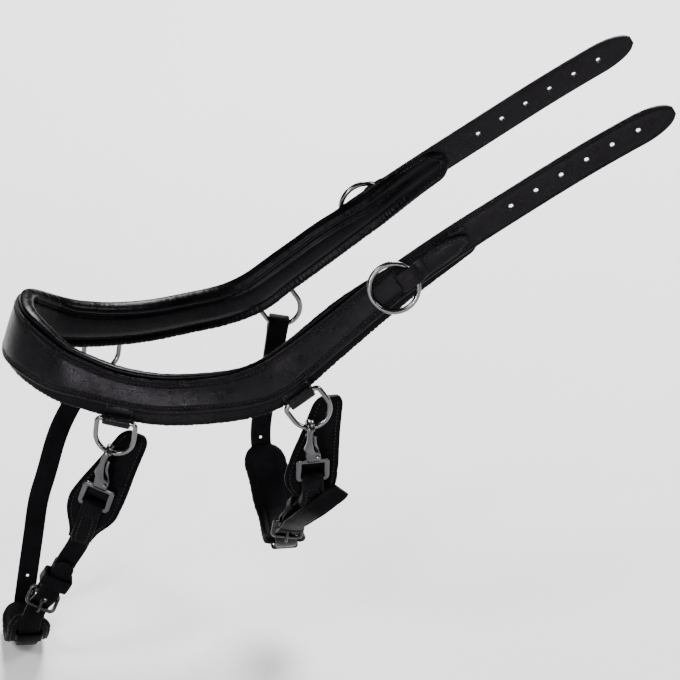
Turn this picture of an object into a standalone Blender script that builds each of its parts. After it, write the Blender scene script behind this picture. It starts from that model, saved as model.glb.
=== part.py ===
"""Padded double-strap noseband for a bridle, with snap hooks on its two lower straps.

All sizes are in millimetres and become metres when a mesh is made.  The frame has +Z up, +X to
the near side and -Y to the horse's nose.  The origin is the nose seat: the middle of the front,
on the face of the padding that rests on the nose.
"""
import math

import bmesh
import bpy
import numpy as np

MM = 0.001
GAP = 0.3                      # between pieces that touch

# The band: a strap sewn on a wider padded lining, mirrored about X = 0
PAD_THICKNESS = 8.0
STRAP_THICKNESS = 3.0
STRAP_CROWN = 0.6
EDGE = 0.6                     # rounding of a leather edge
PAD_END = 350.0                # along the band, where the lining ends
ROLL_HEIGHT = 1.5              # of the top roll over the strap's inner face

# Half of the band, from the nose to the tip, on the strap's inner face: x, y, z, the inward lean
# of its top, then the half heights above and below of the padding and of the strap
BAND_ROUTE = (
    (0, -7.6, 2.5, 18, 21.4, 21.8, 17, 17),
    (21.4, -2.8, 0.9, 17.5, 20.2, 20.4, 16, 15.8),
    (39.1, 15.1, -8.6, 17, 17.1, 18.9, 13.9, 13.1),
    (47.5, 34.7, -15.4, 17, 15.7, 17.6, 11.9, 10.3),
    (55.0, 54.2, -20, 17.5, 15, 17, 10.9, 9.1),
    (62.4, 78.9, -22.3, 19.5, 14.8, 17, 10.9, 9.1),
    (67.6, 106, -20.6, 21, 14.5, 17.1, 10.9, 9.1),
    (69.4, 128.2, -17, 21.8, 13.8, 17.8, 11.4, 10.6),
    (69.5, 146.3, -10.2, 22.2, 14, 18.2, 12, 12),
    (68.5, 163, 0.9, 21.4, 13.9, 16.4, 11.7, 11.4),
    (66, 183.2, 15.2, 19.4, 14.6, 15.1, 11.3, 10.2),
    (62.6, 217.3, 40.8, 15, 14.6, 14.4, 11, 9.6),
    (60.6, 254, 65.5, 8, 12.5, 12.7, 10.6, 9.4),
    (60.4, 290, 88.6, 4, 10.5, 10.7, 9.8, 9.8),
    (61.1, 339, 118.1, 4, 10.5, 10.7, 9.8, 9.8),
    (62.6, 390, 146.1, 4, 10.5, 10.7, 9.8, 9.8),
)

# Holes in the strap ends
HOLE_COUNT = 6
HOLE_PITCH = 17.7
HOLE_DIAMETER = 3.8
HOLE_FROM_TIP = 24.5
TIP_ROUND = 9.0

# D rings in their leather loops under the band
D_WIRE = 3.2
D_WIDTH = 27.4                 # outside
D_DEPTH = 25.5                 # outside
D_CORNER = 3.0
D_PLACES = (94.0, 195.5)       # along the band from the nose: front pair, rear pair
D_LOOP_WIDTH = 17.0
D_LOOP_LEATHER = 1.8
D_LOOP_TAIL = 7.0
D_DROPS = (8.0, 6.4)           # of the bars below the strap's lower edge
BAR_PLAY = 0.35

# Round rings and the stitched tabs that hold them
RING_WIRE = 3.3
RING_DIAMETER = 33.0           # outside
RING_PLACE = 280.0             # of the ring's middle along the band
TAB_WIDTH = 12.0
TAB_LEATHER = 1.5
TAB_LENGTH = 49.0
TAB_SLACK = 10.5               # of the fold inside the ring's wire
RING_LIFT = 1.3                # room for the wire's curve as the ring turns over

# Lower straps: each hangs from a snap on the near D ring and is folded round the off D ring
LOW_WIDTH = 13.0
LOW_LEATHER = 2.4
PLY = (LOW_LEATHER + GAP) / 2  # middle of each of two plies about their shared route
RETURN = 30.0                  # length of a sewn return under the eye and at the off D ring
CHAPE = 24.0                   # length of the return at the buckle

# Snap: along the hook, sideways and outward of the D ring's wire
HOOK_RADIUS = 3.3              # inside of the hook
HOOK_STOCK = 2.8
HOOK_WIDTH = 3.6
HOOK_SIDE = 3.2                # of the hook from the middle of the eye
EYE_WIRE = 2.8
EYE_WIDTH = 19.5               # outside
EYE_TOP = 25.8                 # below the D ring's wire, to the middle of the eye's top bar
EYE_BOTTOM = 39.0
GATE_PIVOT = 21.6
GATE_SIDE = -2.6
GATE_STOCK = 1.8
RIVET = 1.6

# Guard behind the snap: half widths at distances from the eye's lower bar
GUARD_LEATHER = 2.2
GUARD_SHAPE = ((-53, 8.6), (-27, 12.3), (-9, 15.6), (0, 16.7), (6, 16.4), (12, 14.6), (18, 11.4),
               (25, 8.6), (31, 7.2))

KEEPER_LENGTH = 9.0
KEEPER_LEATHER = 1.6
KEEPER_ROOM = 1.2
BUCKLE_WIDTH = 21.0            # outside
BUCKLE_LENGTH = 10.5           # between the middles of its bars
BUCKLE_WIRE = 2.5
BUCKLE_RISE = 4.2              # of the front bar over the heel bar
TONGUE_WIRE = 1.8
HOLE_LOW = 3.0                 # in the lower straps
CHIN_WIDTH = 27.0
CHIN_THICKNESS = 5.5
U_RADIUS = 42.0                # of the lower straps under the chin

# Each lower strap: its D place, the snap's slope to the nose and inward; the rows of its route on
# the near side, measured from the near D ring's bow; the middle of the U, measured from the line
# between the bows, and its slope; the rows on the off side, from the off D ring's bow; the places
# of buckle, keeper, tip and holes from the eye; the start and end of the chin pad
FRONT_STRAP_ROUTE = {
    "place": D_PLACES[0], "contact": 22.0, "slope": 20.0, "inward": 6.0, "guard_swing": 0.17,
    "near": ((-12.52, -24.75, -78.69), (-15.02, -32.25, -91.69), (-17.52, -39.25, -105.69),
             (-19.52, -48.25, -117.69)),
    "centre": (0, -54.75, -126.19), "u_slope": 7.0, "u_from": 12, "u_to": 125,
    "far": ((25.02, -56.25, -151.19), (19.52, -52.75, -133.69), (17.52, -49.25, -114.69),
            (16.52, -45.25, -92.69), (15.52, -38.75, -72.69), (13.52, -31.75, -50.69),
            (10.02, -23.75, -34.69)),
    "buckle": 74.5, "keeper": 64.0, "tip": 47.0, "pad": (97.0, 182.0), "holes": (204.0,),
    "tip_rows": (),
}
REAR_STRAP_ROUTE = {
    "place": D_PLACES[1], "contact": 5.0, "slope": 1.0, "inward": 12.0, "guard_swing": 0.23,
    "near": ((-22.65, -0.78, -76.54), (-30.15, -5.28, -85.54), (-36.65, -10.28, -95.54),
             (-42.15, -12.78, -105.54)),
    "centre": (0, -11.78, -86.04), "u_slope": -2.0, "u_from": 48, "u_to": 118,
    "far": ((47.65, -12.78, -115.54), (39.65, -13.58, -107.54), (33.65, -14.98, -99.04),
            (29.15, -17.18, -89.54), (25.15, -18.08, -78.54), (20.15, -15.78, -63.54),
            (14.65, -9.98, -43.54)),
    "buckle": 57.0, "keeper": 39.0, "tip": 0.0, "pad": (89.0, 186.0), "holes": (191.0,),
    "tip_rows": ((-26.65, -8.58, -90.54), (-20.65, -5.28, -85.04), (-14.15, -1.58, -78.54),
                 (-9.65, 2.22, -73.44), (-7.15, 7.42, -68.14), (-6.15, 11.92, -64.14),
                 (-6.15, 19.42, -58.64)),
}

LEATHER = (0.012, 0.011, 0.012, 1.0)
LINING = (0.016, 0.015, 0.015, 1.0)
STEEL = (0.72, 0.72, 0.72, 1.0)


def clear_scene():
    for old in list(bpy.data.objects):
        bpy.data.objects.remove(old, do_unlink=True)


def material(name, colour, roughness, metallic):
    mat = bpy.data.materials.new(name)
    mat.use_nodes = True
    shader = mat.node_tree.nodes["Principled BSDF"]
    shader.inputs["Base Color"].default_value = colour
    shader.inputs["Roughness"].default_value = roughness
    shader.inputs["Metallic"].default_value = metallic
    return mat


def unit(vector):
    return np.asarray(vector, float) / np.linalg.norm(vector)


def smooth_rows(rows, first=None, per_span=16):
    """Rows of numbers joined by a smooth curve through them, each column alike."""
    rows = np.array(rows, float)
    before = rows[0] * 2 - rows[1] if first is None else np.array(first, float)
    after = rows[-1] * 2 - rows[-2]
    padded = np.vstack([before, rows, after])
    out = []
    for index in range(len(rows) - 1):
        p0, p1, p2, p3 = padded[index:index + 4]
        for step in range(per_span):
            t = step / per_span
            out.append(0.5 * (2 * p1 + (p2 - p0) * t + (2 * p0 - 5 * p1 + 4 * p2 - p3) * t ** 2
                              + (3 * p1 - p0 - 3 * p2 + p3) * t ** 3))
    out.append(rows[-1])
    return np.array(out)


class Route:
    """A smooth curve read by the distance along it; straight past both ends."""

    def __init__(self, rows, first=None):
        self.table = smooth_rows(rows, first)
        steps = np.linalg.norm(np.diff(self.table[:, :3], axis=0), axis=1)
        self.along = np.concatenate([[0.0], np.cumsum(steps)])
        self.length = self.along[-1]

    def row(self, distance):
        inside = min(max(distance, 0.0), self.length)
        row = np.array([np.interp(inside, self.along, column) for column in self.table.T])
        if distance != inside:
            row[:3] += self.tangent(inside) * (distance - inside)
        return row

    def tangent(self, distance):
        a = min(max(distance - 1.0, 0.0), self.length - 2.0)
        b = a + 2.0
        ends = [[np.interp(d, self.along, column) for column in self.table.T[:3]] for d in (a, b)]
        return unit(np.subtract(ends[1], ends[0]))


FIRST_MIRRORED = (-BAND_ROUTE[1][0],) + BAND_ROUTE[1][1:]
BAND = Route(BAND_ROUTE, FIRST_MIRRORED)


def band_frame(place):
    """Middle, along, up and outward directions of the band; a negative place is the off side."""
    row = BAND.row(abs(place))
    along = BAND.tangent(abs(place))
    if abs(place) < 1.0:
        along = np.array([1.0, 0.0, 0.0])
    level = unit([along[1], -along[0], 0.0])
    up = np.cross(level, along)
    lean = math.radians(row[3])
    out = level * math.cos(lean) + up * math.sin(lean)
    up = up * math.cos(lean) - level * math.sin(lean)
    mirror = np.array([1.0 if place >= 0 else -1.0, 1.0, 1.0])
    return row[:3] * mirror, along * mirror, up * mirror, out * mirror


def band_point(place, across, outward):
    middle, _, up, out = band_frame(place)
    return middle + up * across + out * outward


def band_halves(place):
    return BAND.row(abs(place))[4:8]


def loft(rings, closed=False):
    """Faces through rings of points, with end caps unless the rings close on themselves."""
    count = len(rings[0])
    verts = [tuple(p) for ring in rings for p in ring]
    faces = []
    for index in range(len(rings) if closed else len(rings) - 1):
        a = index * count
        b = (index + 1) % len(rings) * count
        for k in range(count):
            nxt = (k + 1) % count
            faces.append((a + k, a + nxt, b + nxt, b + k))
    if not closed:
        faces.append(tuple(range(count - 1, -1, -1)))
        faces.append(tuple(range(len(verts) - count, len(verts))))
    return verts, faces


def make_object(name, shape, mat, pivot=(0, 0, 0), parent=None, guide=False):
    """An object from points in millimetres, with its origin at the pivot."""
    verts, faces = shape
    pivot = np.array(pivot, float)
    mesh = bpy.data.meshes.new(name)
    bm = bmesh.new()
    made = [bm.verts.new((np.array(v) - pivot) * MM) for v in verts]
    for face in faces:
        bm.faces.new([made[i] for i in face])
    bmesh.ops.triangulate(bm, faces=[face for face in bm.faces if len(face.verts) == 4])
    bmesh.ops.recalc_face_normals(bm, faces=bm.faces)
    bm.to_mesh(mesh)
    bm.free()
    mesh.shade_smooth()
    mesh.set_sharp_from_angle(angle=math.radians(35))
    obj = bpy.data.objects.new(name, mesh)
    bpy.context.collection.objects.link(obj)
    obj.location = pivot * MM
    if parent is not None:
        obj.parent = parent
        obj.location = pivot * MM - np.array(parent.location)
    if guide:
        obj.hide_render = True
        obj.display_type = "WIRE"
    else:
        mesh.materials.append(mat)
    return obj


def make_pivot(name, place):
    empty = bpy.data.objects.new(name, None)
    bpy.context.collection.objects.link(empty)
    empty.location = np.array(place, float) * MM
    return empty


def join_or_cut(obj, other, operation):
    modifier = obj.modifiers.new(operation.title(), "BOOLEAN")
    modifier.operation = operation
    modifier.solver = "EXACT"
    modifier.object = other


def tube(points, radii, sides=8, closed=False, flat=None):
    """A rod along points; radii are one number or (across, through) pairs for each point.

    flat is the direction that the first of each pair of radii lies along.
    """
    points = np.array(points, float)
    count = len(points)
    rings = []
    side = None
    for i in range(count):
        ahead = points[(i + 1) % count] - points[i]
        behind = points[i] - points[i - 1]
        if not closed and i == 0:
            behind = ahead
        if not closed and i == count - 1:
            ahead = behind
        along = unit(unit(ahead) + unit(behind))
        hint = flat if flat is not None else side
        if hint is None:
            hint = np.cross(along, [0.3, 0.5, 0.8])
        side = unit(np.array(hint) - along * np.dot(hint, along))
        through = np.cross(along, side)
        ra, rb = (radii[i] if hasattr(radii[i], "__len__") else (radii[i],) * 2) \
            if hasattr(radii, "__len__") else (radii, radii)
        turn = [math.tau * (k + 0.5) / sides for k in range(sides)]
        rings.append([points[i] + side * ra * math.cos(a) + through * rb * math.sin(a)
                      for a in turn])
    return loft(rings, closed)


def leather_section(below, above, inner, outer, crown=0.0):
    """Across and outward places of a strap's section, with rounded edges."""
    edge = min(EDGE, (outer - inner) * 0.3, (above + below) * 0.2)
    middle = (above - below) / 2
    points = [(-below, inner + edge), (-below + edge, inner), (above - edge, inner),
              (above, inner + edge), (above, outer - edge), (above - edge, outer)]
    if crown:
        points.append((middle, outer + crown))
    return points + [(-below + edge, outer), (-below, outer - edge)]


def round_end(to_end, radius):
    """Share of the full width, at a distance from a rounded end."""
    if to_end >= radius:
        return 1.0
    return max(math.sqrt(max(1 - (1 - to_end / radius) ** 2, 0)), 0.22)


def end_steps(radius):
    return [radius * (1 - math.cos(math.pi / 2 * k / 4)) for k in range(5)]


def shared_places():
    """Places of sections on the near half, alike in the strap and its padding."""
    return list(np.arange(0, 216, 8.0)) + list(np.arange(216, PAD_END - 14, 11.5))


def band_places():
    """Places of the strap's sections, from the off tip to the near tip."""
    near = shared_places() + list(np.arange(PAD_END, BAND.length - TIP_ROUND - 6, 13.0))
    near += [BAND.length - e for e in reversed(end_steps(TIP_ROUND))]
    return [-p for p in reversed(near[1:])] + near


def main_strap(mat):
    rings = []
    for place in band_places():
        _, _, above, below = band_halves(place)
        share = round_end(BAND.length - abs(place), TIP_ROUND)
        middle = (above - below) / 2
        half = (above + below) / 2 * share
        section = leather_section(half - middle, half + middle, 0, STRAP_THICKNESS, STRAP_CROWN)
        rings.append([band_point(place, a, o) for a, o in section])
    obj = make_object("main_strap", loft(rings), mat)
    for side in (1, -1):
        for index in range(HOLE_COUNT):
            place = side * (BAND.length - HOLE_FROM_TIP - HOLE_PITCH * index)
            ends = [band_point(place, 0, o) for o in (-4, STRAP_THICKNESS + 4)]
            punch = make_object("hole_punch", tube(ends, HOLE_DIAMETER / 2, 10), None, guide=True)
            join_or_cut(obj, punch, "DIFFERENCE")
    return obj


def pad_section(place):
    """Section of the padding: a top roll, a groove, the crowned pad and a lower roll."""
    up, down, above, below = band_halves(place)
    to_end = PAD_END - abs(place)
    thin = 0.42 + 0.58 * min(1.0, to_end / 60.0) ** 0.7
    roll = min(1.0, max(0.0, (to_end - 14) / 30.0)) * min(1.0, (up - above) / 2.5)
    share = round_end(to_end, 12.0)
    t = PAD_THICKNESS * thin
    margin = up - above
    lip = -GAP - 0.2 + roll * (ROLL_HEIGHT + GAP)
    points = [
        (-down, -0.42 * t), (-down + 1.0, -0.2 * t - 0.2), (-below - 0.9, -0.75),
        (-below + 0.5, -GAP), (above - 0.5, -GAP),
        (above + GAP + 0.1 * margin, lip - 0.35 * roll), (above + 0.55 * margin + 0.25, lip),
        (up - 0.12 * margin, lip - 0.9 * roll - 0.1), (up, -0.38 * t),
        (up - 0.9, -0.78 * t), (up - 3.4, -0.96 * t), (up - 6.6, -0.78 * t), (up - 9.5, -t),
        (-down + 10.0, -t), (-down + 7.0, -0.8 * t), (-down + 3.4, -0.95 * t),
        (-down + 0.9, -0.74 * t),
    ]
    return [(a * share, o) for a, o in points]


def padding(mat, pockets):
    near = shared_places() + [PAD_END - e for e in reversed(end_steps(12.0))]
    places = [-p for p in reversed(near[1:])] + near
    rings = [[band_point(p, a, o) for a, o in pad_section(p)] for p in places]
    obj = make_object("padding", loft(rings), mat)
    for pocket in pockets:
        join_or_cut(obj, pocket, "DIFFERENCE")
    return obj


def d_drop(place):
    return D_DROPS[0] if abs(place) == D_PLACES[0] else D_DROPS[1]


def d_frame(place):
    """Bar middle, bar direction, and the way that the D ring hangs from it."""
    below = band_halves(place)[3]
    bar = band_point(place, -below - d_drop(place), STRAP_THICKNESS * 0.5 + 1.9)
    along = band_frame(place)[1]
    hang = unit(along * along[2] - np.array([0, 0, 1.0]))
    return bar, along, hang


def d_bow(place):
    """Middle of the D ring's round bow."""
    bar, _, hang = d_frame(place)
    return bar + hang * (D_DEPTH - D_WIRE - (D_WIDTH - D_WIRE) / 2)


def d_normal(place):
    """The outward side of a D ring's plane."""
    _, along, hang = d_frame(place)
    return np.cross(hang, along) * (1 if place > 0 else -1)


def arc(centre, first, second, radius, start, end, steps):
    angles = [start + (end - start) * k / steps for k in range(steps + 1)]
    return [centre + first * radius * math.cos(a) + second * radius * math.sin(a) for a in angles]


def d_ring(name, place, mat):
    bar, along, hang = d_frame(place)
    half = (D_WIDTH - D_WIRE) / 2
    straight = D_DEPTH - D_WIRE - half
    points = [bar + along * u for u in np.linspace(-(half - D_CORNER), half - D_CORNER, 4)]
    corner = bar + along * (half - D_CORNER) + hang * D_CORNER
    points += arc(corner, along, -hang, D_CORNER, math.pi / 2, 0, 3)[1:]
    points += arc(bar + hang * straight, along, hang, half, 0, math.pi, 14)
    corner = bar - along * (half - D_CORNER) + hang * D_CORNER
    points += arc(corner, -along, -hang, D_CORNER, 0, math.pi / 2, 3)[:-1]
    return make_object(name, tube(points, D_WIRE / 2, 8, closed=True), mat, pivot=bar)


def d_loop(name, place, mat):
    """A leather loop rolled round the bar, with its tail in a pocket of the padding."""
    middle, along, up, out = band_frame(place)
    bar = d_frame(place)[0]
    bore = D_WIRE / 2 + BAR_PLAY
    outer = bore + D_LOOP_LEATHER
    level = np.dot(bar - middle, out)
    tail_out = -2 * GAP - level
    tail_in = tail_out - 1.2
    drop = d_drop(place)
    tail_top = drop + D_LOOP_TAIL
    turns = np.radians(np.linspace(162, -150, 15))
    outline = [(tail_top, tail_out)]
    outline += [(outer * math.sin(turn), outer * math.cos(turn)) for turn in turns]
    outline += [(1.0, tail_in), (tail_top, tail_in)]
    across = -band_halves(place)[3] - drop

    def sections(half, outline, bent):
        """Straight about the bar, and following the band at the bent corners."""
        rings = []
        for u in np.linspace(-half, half, 5):
            ring = [bar + along * u + up * a + out * o for a, o in outline]
            spot = place + u * np.sign(place)
            for k in bent:
                a, o = outline[k]
                ring[k] = band_point(spot, across + a, level + o)
            rings.append(ring)
        return loft(rings)

    obj = make_object(name, sections(D_LOOP_WIDTH / 2, outline, (0, -1)), mat)
    reach = D_LOOP_WIDTH / 2 + 2
    hole = tube([bar - along * reach, bar + along * reach], bore, 12)
    join_or_cut(obj, make_object(name + "_bore", hole, None, guide=True), "DIFFERENCE")
    a0, a1 = -drop * 0.4, tail_top + GAP
    o0, o1 = tail_in - GAP, 6.0
    box = sections(D_LOOP_WIDTH / 2 + GAP, ((a0, o0), (a1, o0), (a1, o1), (a0, o1)), (1,))
    return obj, make_object(name + "_pocket", box, None, guide=True)


def ring_frame(side):
    """The round ring's middle, its plane's directions, and the line that it turns over on."""
    place = side * RING_PLACE
    middle, along, up, out = band_frame(place)
    along = along * side * side
    radius = (RING_DIAMETER - RING_WIRE) / 2
    face = STRAP_THICKNESS + STRAP_CROWN
    low = face + GAP + RING_WIRE / 2
    high = low + TAB_LEATHER + GAP
    rest = middle + out * low - along * radius
    turn = band_point(side * (RING_PLACE + radius), 0, high)
    across = unit(turn - rest)
    centre = (turn + rest) / 2
    return centre, across, up, turn, radius


def round_ring(name, side, mat):
    centre, across, up, turn, radius = ring_frame(side)
    points = arc(centre, across, up, radius, 0, math.tau, 30)[:-1]
    return make_object(name, tube(points, RING_WIRE / 2, 8, closed=True), mat, pivot=turn)


def ring_tab(name, side, mat):
    """Two plies sewn flat at the tail, with a fold round the ring's wire at the other end."""
    radius = (RING_DIAMETER - RING_WIRE) / 2
    wire = RING_PLACE + radius
    fold = wire - TAB_SLACK
    tail = fold + TAB_LENGTH
    base = STRAP_THICKNESS + STRAP_CROWN + GAP + TAB_LEATHER / 2
    room = RING_WIRE + 2 * GAP + RING_LIFT
    high = base + room + TAB_LEATHER
    bend = (high - base) / 2
    line = [(tail, base), (tail - 2.5, base), (tail - 6, base), (tail - 12, base)]
    line += [(p, base) for p in np.linspace(tail - 20, fold + bend, 4)]
    for k in range(1, 7):
        a = math.pi * k / 7
        line.append((fold + bend - bend * math.sin(a), base + bend - bend * math.cos(a)))
    top = base + TAB_LEATHER + GAP
    line += [(fold + bend, high), (wire, high), (wire + 3.5, high - 1.0), (wire + 7.5, top + 0.7),
             (wire + 11, top), (tail - 12, top), (tail - 6, top), (tail - 2.5, top), (tail, top)]
    rings = []
    for index, (place, level) in enumerate(line):
        before = line[max(index - 1, 0)]
        after = line[min(index + 1, len(line) - 1)]
        a = band_point(side * before[0], 0, before[1])
        b = band_point(side * after[0], 0, after[1])
        middle, _, up, _ = band_frame(side * place)
        point = band_point(side * place, 0, level)
        normal = unit(np.cross(up, b - a))
        half = TAB_WIDTH / 2 * (0.5 + 0.5 * min(1.0, (tail - place) / 6.0) ** 0.8)
        section = leather_section(half, half, -TAB_LEATHER / 2, TAB_LEATHER / 2)
        rings.append([point + up * p + normal * q for p, q in section])
    return make_object(name, loft(rings), mat)


class LowRoute(Route):
    """The route of a lower strap, with its width and outward directions."""

    def __init__(self, rows, centre, first_out, last_out, flat):
        super().__init__(rows, None)
        ends = [self.row(d) for d in flat]
        inside = (self.along > flat[0]) & (self.along < flat[1])
        shares = ((self.along[inside] - flat[0]) / (flat[1] - flat[0]))[:, None]
        self.table[inside] = ends[0] * (1 - shares) + ends[1] * shares
        count = int(self.length)
        reach = 5
        even = np.array([self.row(self.length * k / (count - 1)) for k in range(count)])
        even = np.vstack([2 * even[0] - even[reach:0:-1], even,
                          2 * even[-1] - even[-2:-reach - 2:-1]])
        super().__init__([even[k:k + 2 * reach + 1].mean(axis=0) for k in range(count)], None)
        self.flat = flat
        self.centre = centre
        self.first_out = first_out
        self.last_out = last_out

    def sides(self, distance):
        inside = min(max(distance, 0.0), self.length)
        low, high = self.flat
        middle = (low + high) / 2
        inside = np.interp(inside, (0, low - 10, low, high, high + 10, self.length),
                           (0, low - 10, middle, middle, high + 10, self.length))
        point = self.row(inside)
        along = self.tangent(inside)
        hint = unit([point[0], 0.0, min(point[2] - self.centre[2], 0.0)])
        near = max(0.0, 1 - inside / 45.0)
        far = max(0.0, 1 - (self.length - inside) / 45.0)
        hint = hint * (1 - near - far) + self.first_out * near + self.last_out * far
        out = unit(hint - along * np.dot(hint, along))
        return np.cross(along, out), out

    def at(self, distance, across=0.0, outward=0.0):
        wide, out = self.sides(distance)
        return self.row(distance) + wide * across + out * outward


def lower_route(spec):
    """The route from the snap's eye round under the chin to the off D ring's bow."""
    slope = math.radians(spec["slope"])
    inward = math.radians(spec["inward"])
    down = unit([-math.sin(inward), -math.sin(slope), -math.cos(slope)])
    bow = d_bow(spec["place"])
    reach = (D_WIDTH - D_WIRE) / 2
    turn = math.radians(spec["contact"])
    normal = d_normal(spec["place"])
    touch = unit(np.cross([0.0, math.cos(turn), -math.sin(turn)], normal))
    contact = bow + touch * reach
    out = unit(normal - down * np.dot(normal, down))
    eye = contact + down * EYE_BOTTOM - np.cross(down, out) * HOOK_SIDE
    centre = bow * [0, 1, 1] + spec["centre"]
    lean = math.radians(spec["u_slope"])
    drop = np.array([0.0, -math.sin(lean), -math.cos(lean)])
    steps = max(2, round((spec["u_to"] - spec["u_from"]) / 24))
    under = arc(centre, np.array([1.0, 0, 0]), drop, U_RADIUS, math.radians(spec["u_from"]),
                math.radians(spec["u_to"]), steps)
    far_bow = bow * [-1, 1, 1]
    far_out = d_normal(-spec["place"])
    near = [bow + row for row in spec["near"]]
    far = [far_bow + row for row in spec["far"]]
    pull = far[-1] - far_bow
    pull = unit(pull - far_out * np.dot(pull, far_out))
    far_contact = far_bow + pull * (reach - 1.0)
    rows = [eye, eye + down * 13, *near, *under, *far, far_contact]
    flat = (spec["buckle"] - 5, spec["buckle"] + BUCKLE_LENGTH + 3)
    return LowRoute(rows, centre, normal, far_out, flat), contact, down


def strap_sections(places, leather, half_widths, lift=0.0):
    """Sections of a strap from its points and width directions."""
    rings = []
    for index, (point, wide) in enumerate(places):
        before = places[max(index - 1, 0)][0]
        after = places[min(index + 1, len(places) - 1)][0]
        normal = unit(np.cross(wide, after - before))
        half = half_widths[index]
        section = leather_section(half, half, -leather / 2, leather / 2, lift)
        rings.append([point + wide * p + normal * q for p, q in section])
    return loft(rings)


def on_route(route, line):
    return [(route.at(d, 0, o), route.sides(d)[0]) for d, o in line]


def fold(distance, level, radius, heading):
    """Half a turn about a bar, from its inner to its outer side, bulging along the heading."""
    turns = [math.pi * k / 6 for k in range(7)]
    return [(distance + heading * radius * math.sin(t), level - radius * math.cos(t))
            for t in turns]


def box_on(route, name, start, end, half, low, high):
    """A hidden block for cutting, between two distances along a route."""
    rings = [[route.at(d, a, o) for a, o in ((-half, low), (half, low), (half, high),
                                             (-half, high))] for d in (start, end)]
    return make_object(name, loft(rings), None, guide=True)


def shared_distances(spec, start, end):
    """Distances of sections, alike in all plies of the near strap."""
    heel = spec["buckle"]
    return [heel - 12 - 5.5 * k for k in range(20, -1, -1) if start <= heel - 12 - 5.5 * k <= end]


def near_strap(name, route, spec, mat, pivot):
    heel = spec["buckle"]
    eye_bend = EYE_WIRE / 2 + GAP + LOW_LEATHER / 2
    heel_bend = BUCKLE_WIRE / 2 + GAP + LOW_LEATHER / 2
    level = -2 * PLY
    line = [(heel - d, level - PLY) for d in (CHAPE, 18, 12, 6.5)]
    line += [(heel - 3.2, level - PLY - 0.9)] + fold(heel, level, heel_bend, 1)
    line += [(heel - 3.2, -PLY + 0.9), (heel - 6.5, -PLY)]
    line += [(d, -PLY) for d in reversed(shared_distances(spec, 7.0, heel - 12))]
    line += [(3.4, -PLY - 0.9)] + fold(0, 0, eye_bend, -1) + [(3.4, PLY + 0.9), (7.0, PLY)]
    tail = min(RETURN, spec["keeper"] - KEEPER_LENGTH / 2 - 4)
    line += [(d, PLY) for d in shared_distances(spec, 10.0, tail)]
    places = on_route(route, line)
    obj = make_object(name, strap_sections(places, LOW_LEATHER, [LOW_WIDTH / 2] * len(line)),
                      mat, pivot.location / MM, pivot)
    slot = box_on(route, name + "_slot", heel - 5, heel + 6, TONGUE_WIRE / 2 + 0.5, -9, 2.4)
    join_or_cut(obj, slot, "DIFFERENCE")
    return obj


def guard(name, route, spec, mat, pivot):
    """The shaped leather between the snap and the horse, sewn to the strap below."""
    shape = np.array(GUARD_SHAPE)
    first, last = shape[0, 0], shape[-1, 0]
    near = -PLY - LOW_LEATHER / 2 - GAP - GUARD_LEATHER / 2
    at_eye = -EYE_WIRE / 2 - LOW_LEATHER - 2 * GAP - GUARD_LEATHER / 2
    at_hook = -HOOK_RADIUS - HOOK_STOCK - 2 * GAP - GUARD_LEATHER / 2
    levels = ((first, at_hook - 0.4), (-14, at_hook), (-4, at_eye), (7.5, at_eye),
              (15, near - GAP / 2), (last, near - GAP / 2))
    radius = 7.0
    places = [first + e for e in end_steps(radius)] + list(np.linspace(-40, -14, 4))
    places += [-9, -4, 0, 4] + shared_distances(spec, 7.0, last - 3) + [last]
    rings = []
    for d in places:
        half = np.interp(d, shape[:, 0], shape[:, 1])
        if d < first + radius:
            half *= 0.45 + 0.55 * round_end(d - first, radius)
        level = np.interp(d, *np.array(levels).T)
        swing = spec["guard_swing"] * min(d, 0.0)
        section = leather_section(half, half, level - GUARD_LEATHER / 2,
                                  level + GUARD_LEATHER / 2)
        rings.append([route.at(d, a + swing, o) for a, o in section])
    return make_object(name, loft(rings), mat, pivot.location / MM, pivot)


def band_loop(route, distance, half, low, high, leather, length, open_low=False):
    """A leather band round a strap, as a solid of square section."""
    rings = []
    lower = [] if open_low else [(half - 1.5, low), (-half + 1.5, low), (-half, low + 1.2)]
    first = (half, low) if open_low else (half, low + 1.2)
    last = [(-half, low)] if open_low else []
    path = lower + last + [(-half, high - 1.2), (-half + 1.5, high), (half - 1.5, high),
                           (half, high - 1.2), first]
    count = len(path)
    for index, (a, o) in enumerate(path):
        if open_low:
            before, after = path[max(index - 1, 0)], path[min(index + 1, count - 1)]
        else:
            before, after = path[index - 1], path[(index + 1) % count]
        run = unit([after[0] - before[0], after[1] - before[1]])
        side = np.array([run[1], -run[0]]) * leather / 2
        rings.append([route.at(distance + d * length / 2, a + s * side[0], o + s * side[1])
                      for s, d in ((-1, -1), (1, -1), (1, 0), (1, 1), (-1, 1), (-1, 0))])
    return loft(rings, closed=not open_low)


def keeper(name, route, spec, mat, parent):
    leather = KEEPER_LEATHER
    top = PLY + LOW_LEATHER / 2 if not spec["tip_rows"] else -PLY + LOW_LEATHER / 2
    low = -3 * PLY - LOW_LEATHER / 2 - GAP - leather / 2
    high = top + GAP + leather / 2
    half = LOW_WIDTH / 2 + KEEPER_ROOM + leather / 2
    shape = band_loop(route, spec["keeper"], half, low, high, leather, KEEPER_LENGTH)
    return make_object(name, shape, mat, route.at(spec["keeper"]), parent)


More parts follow.
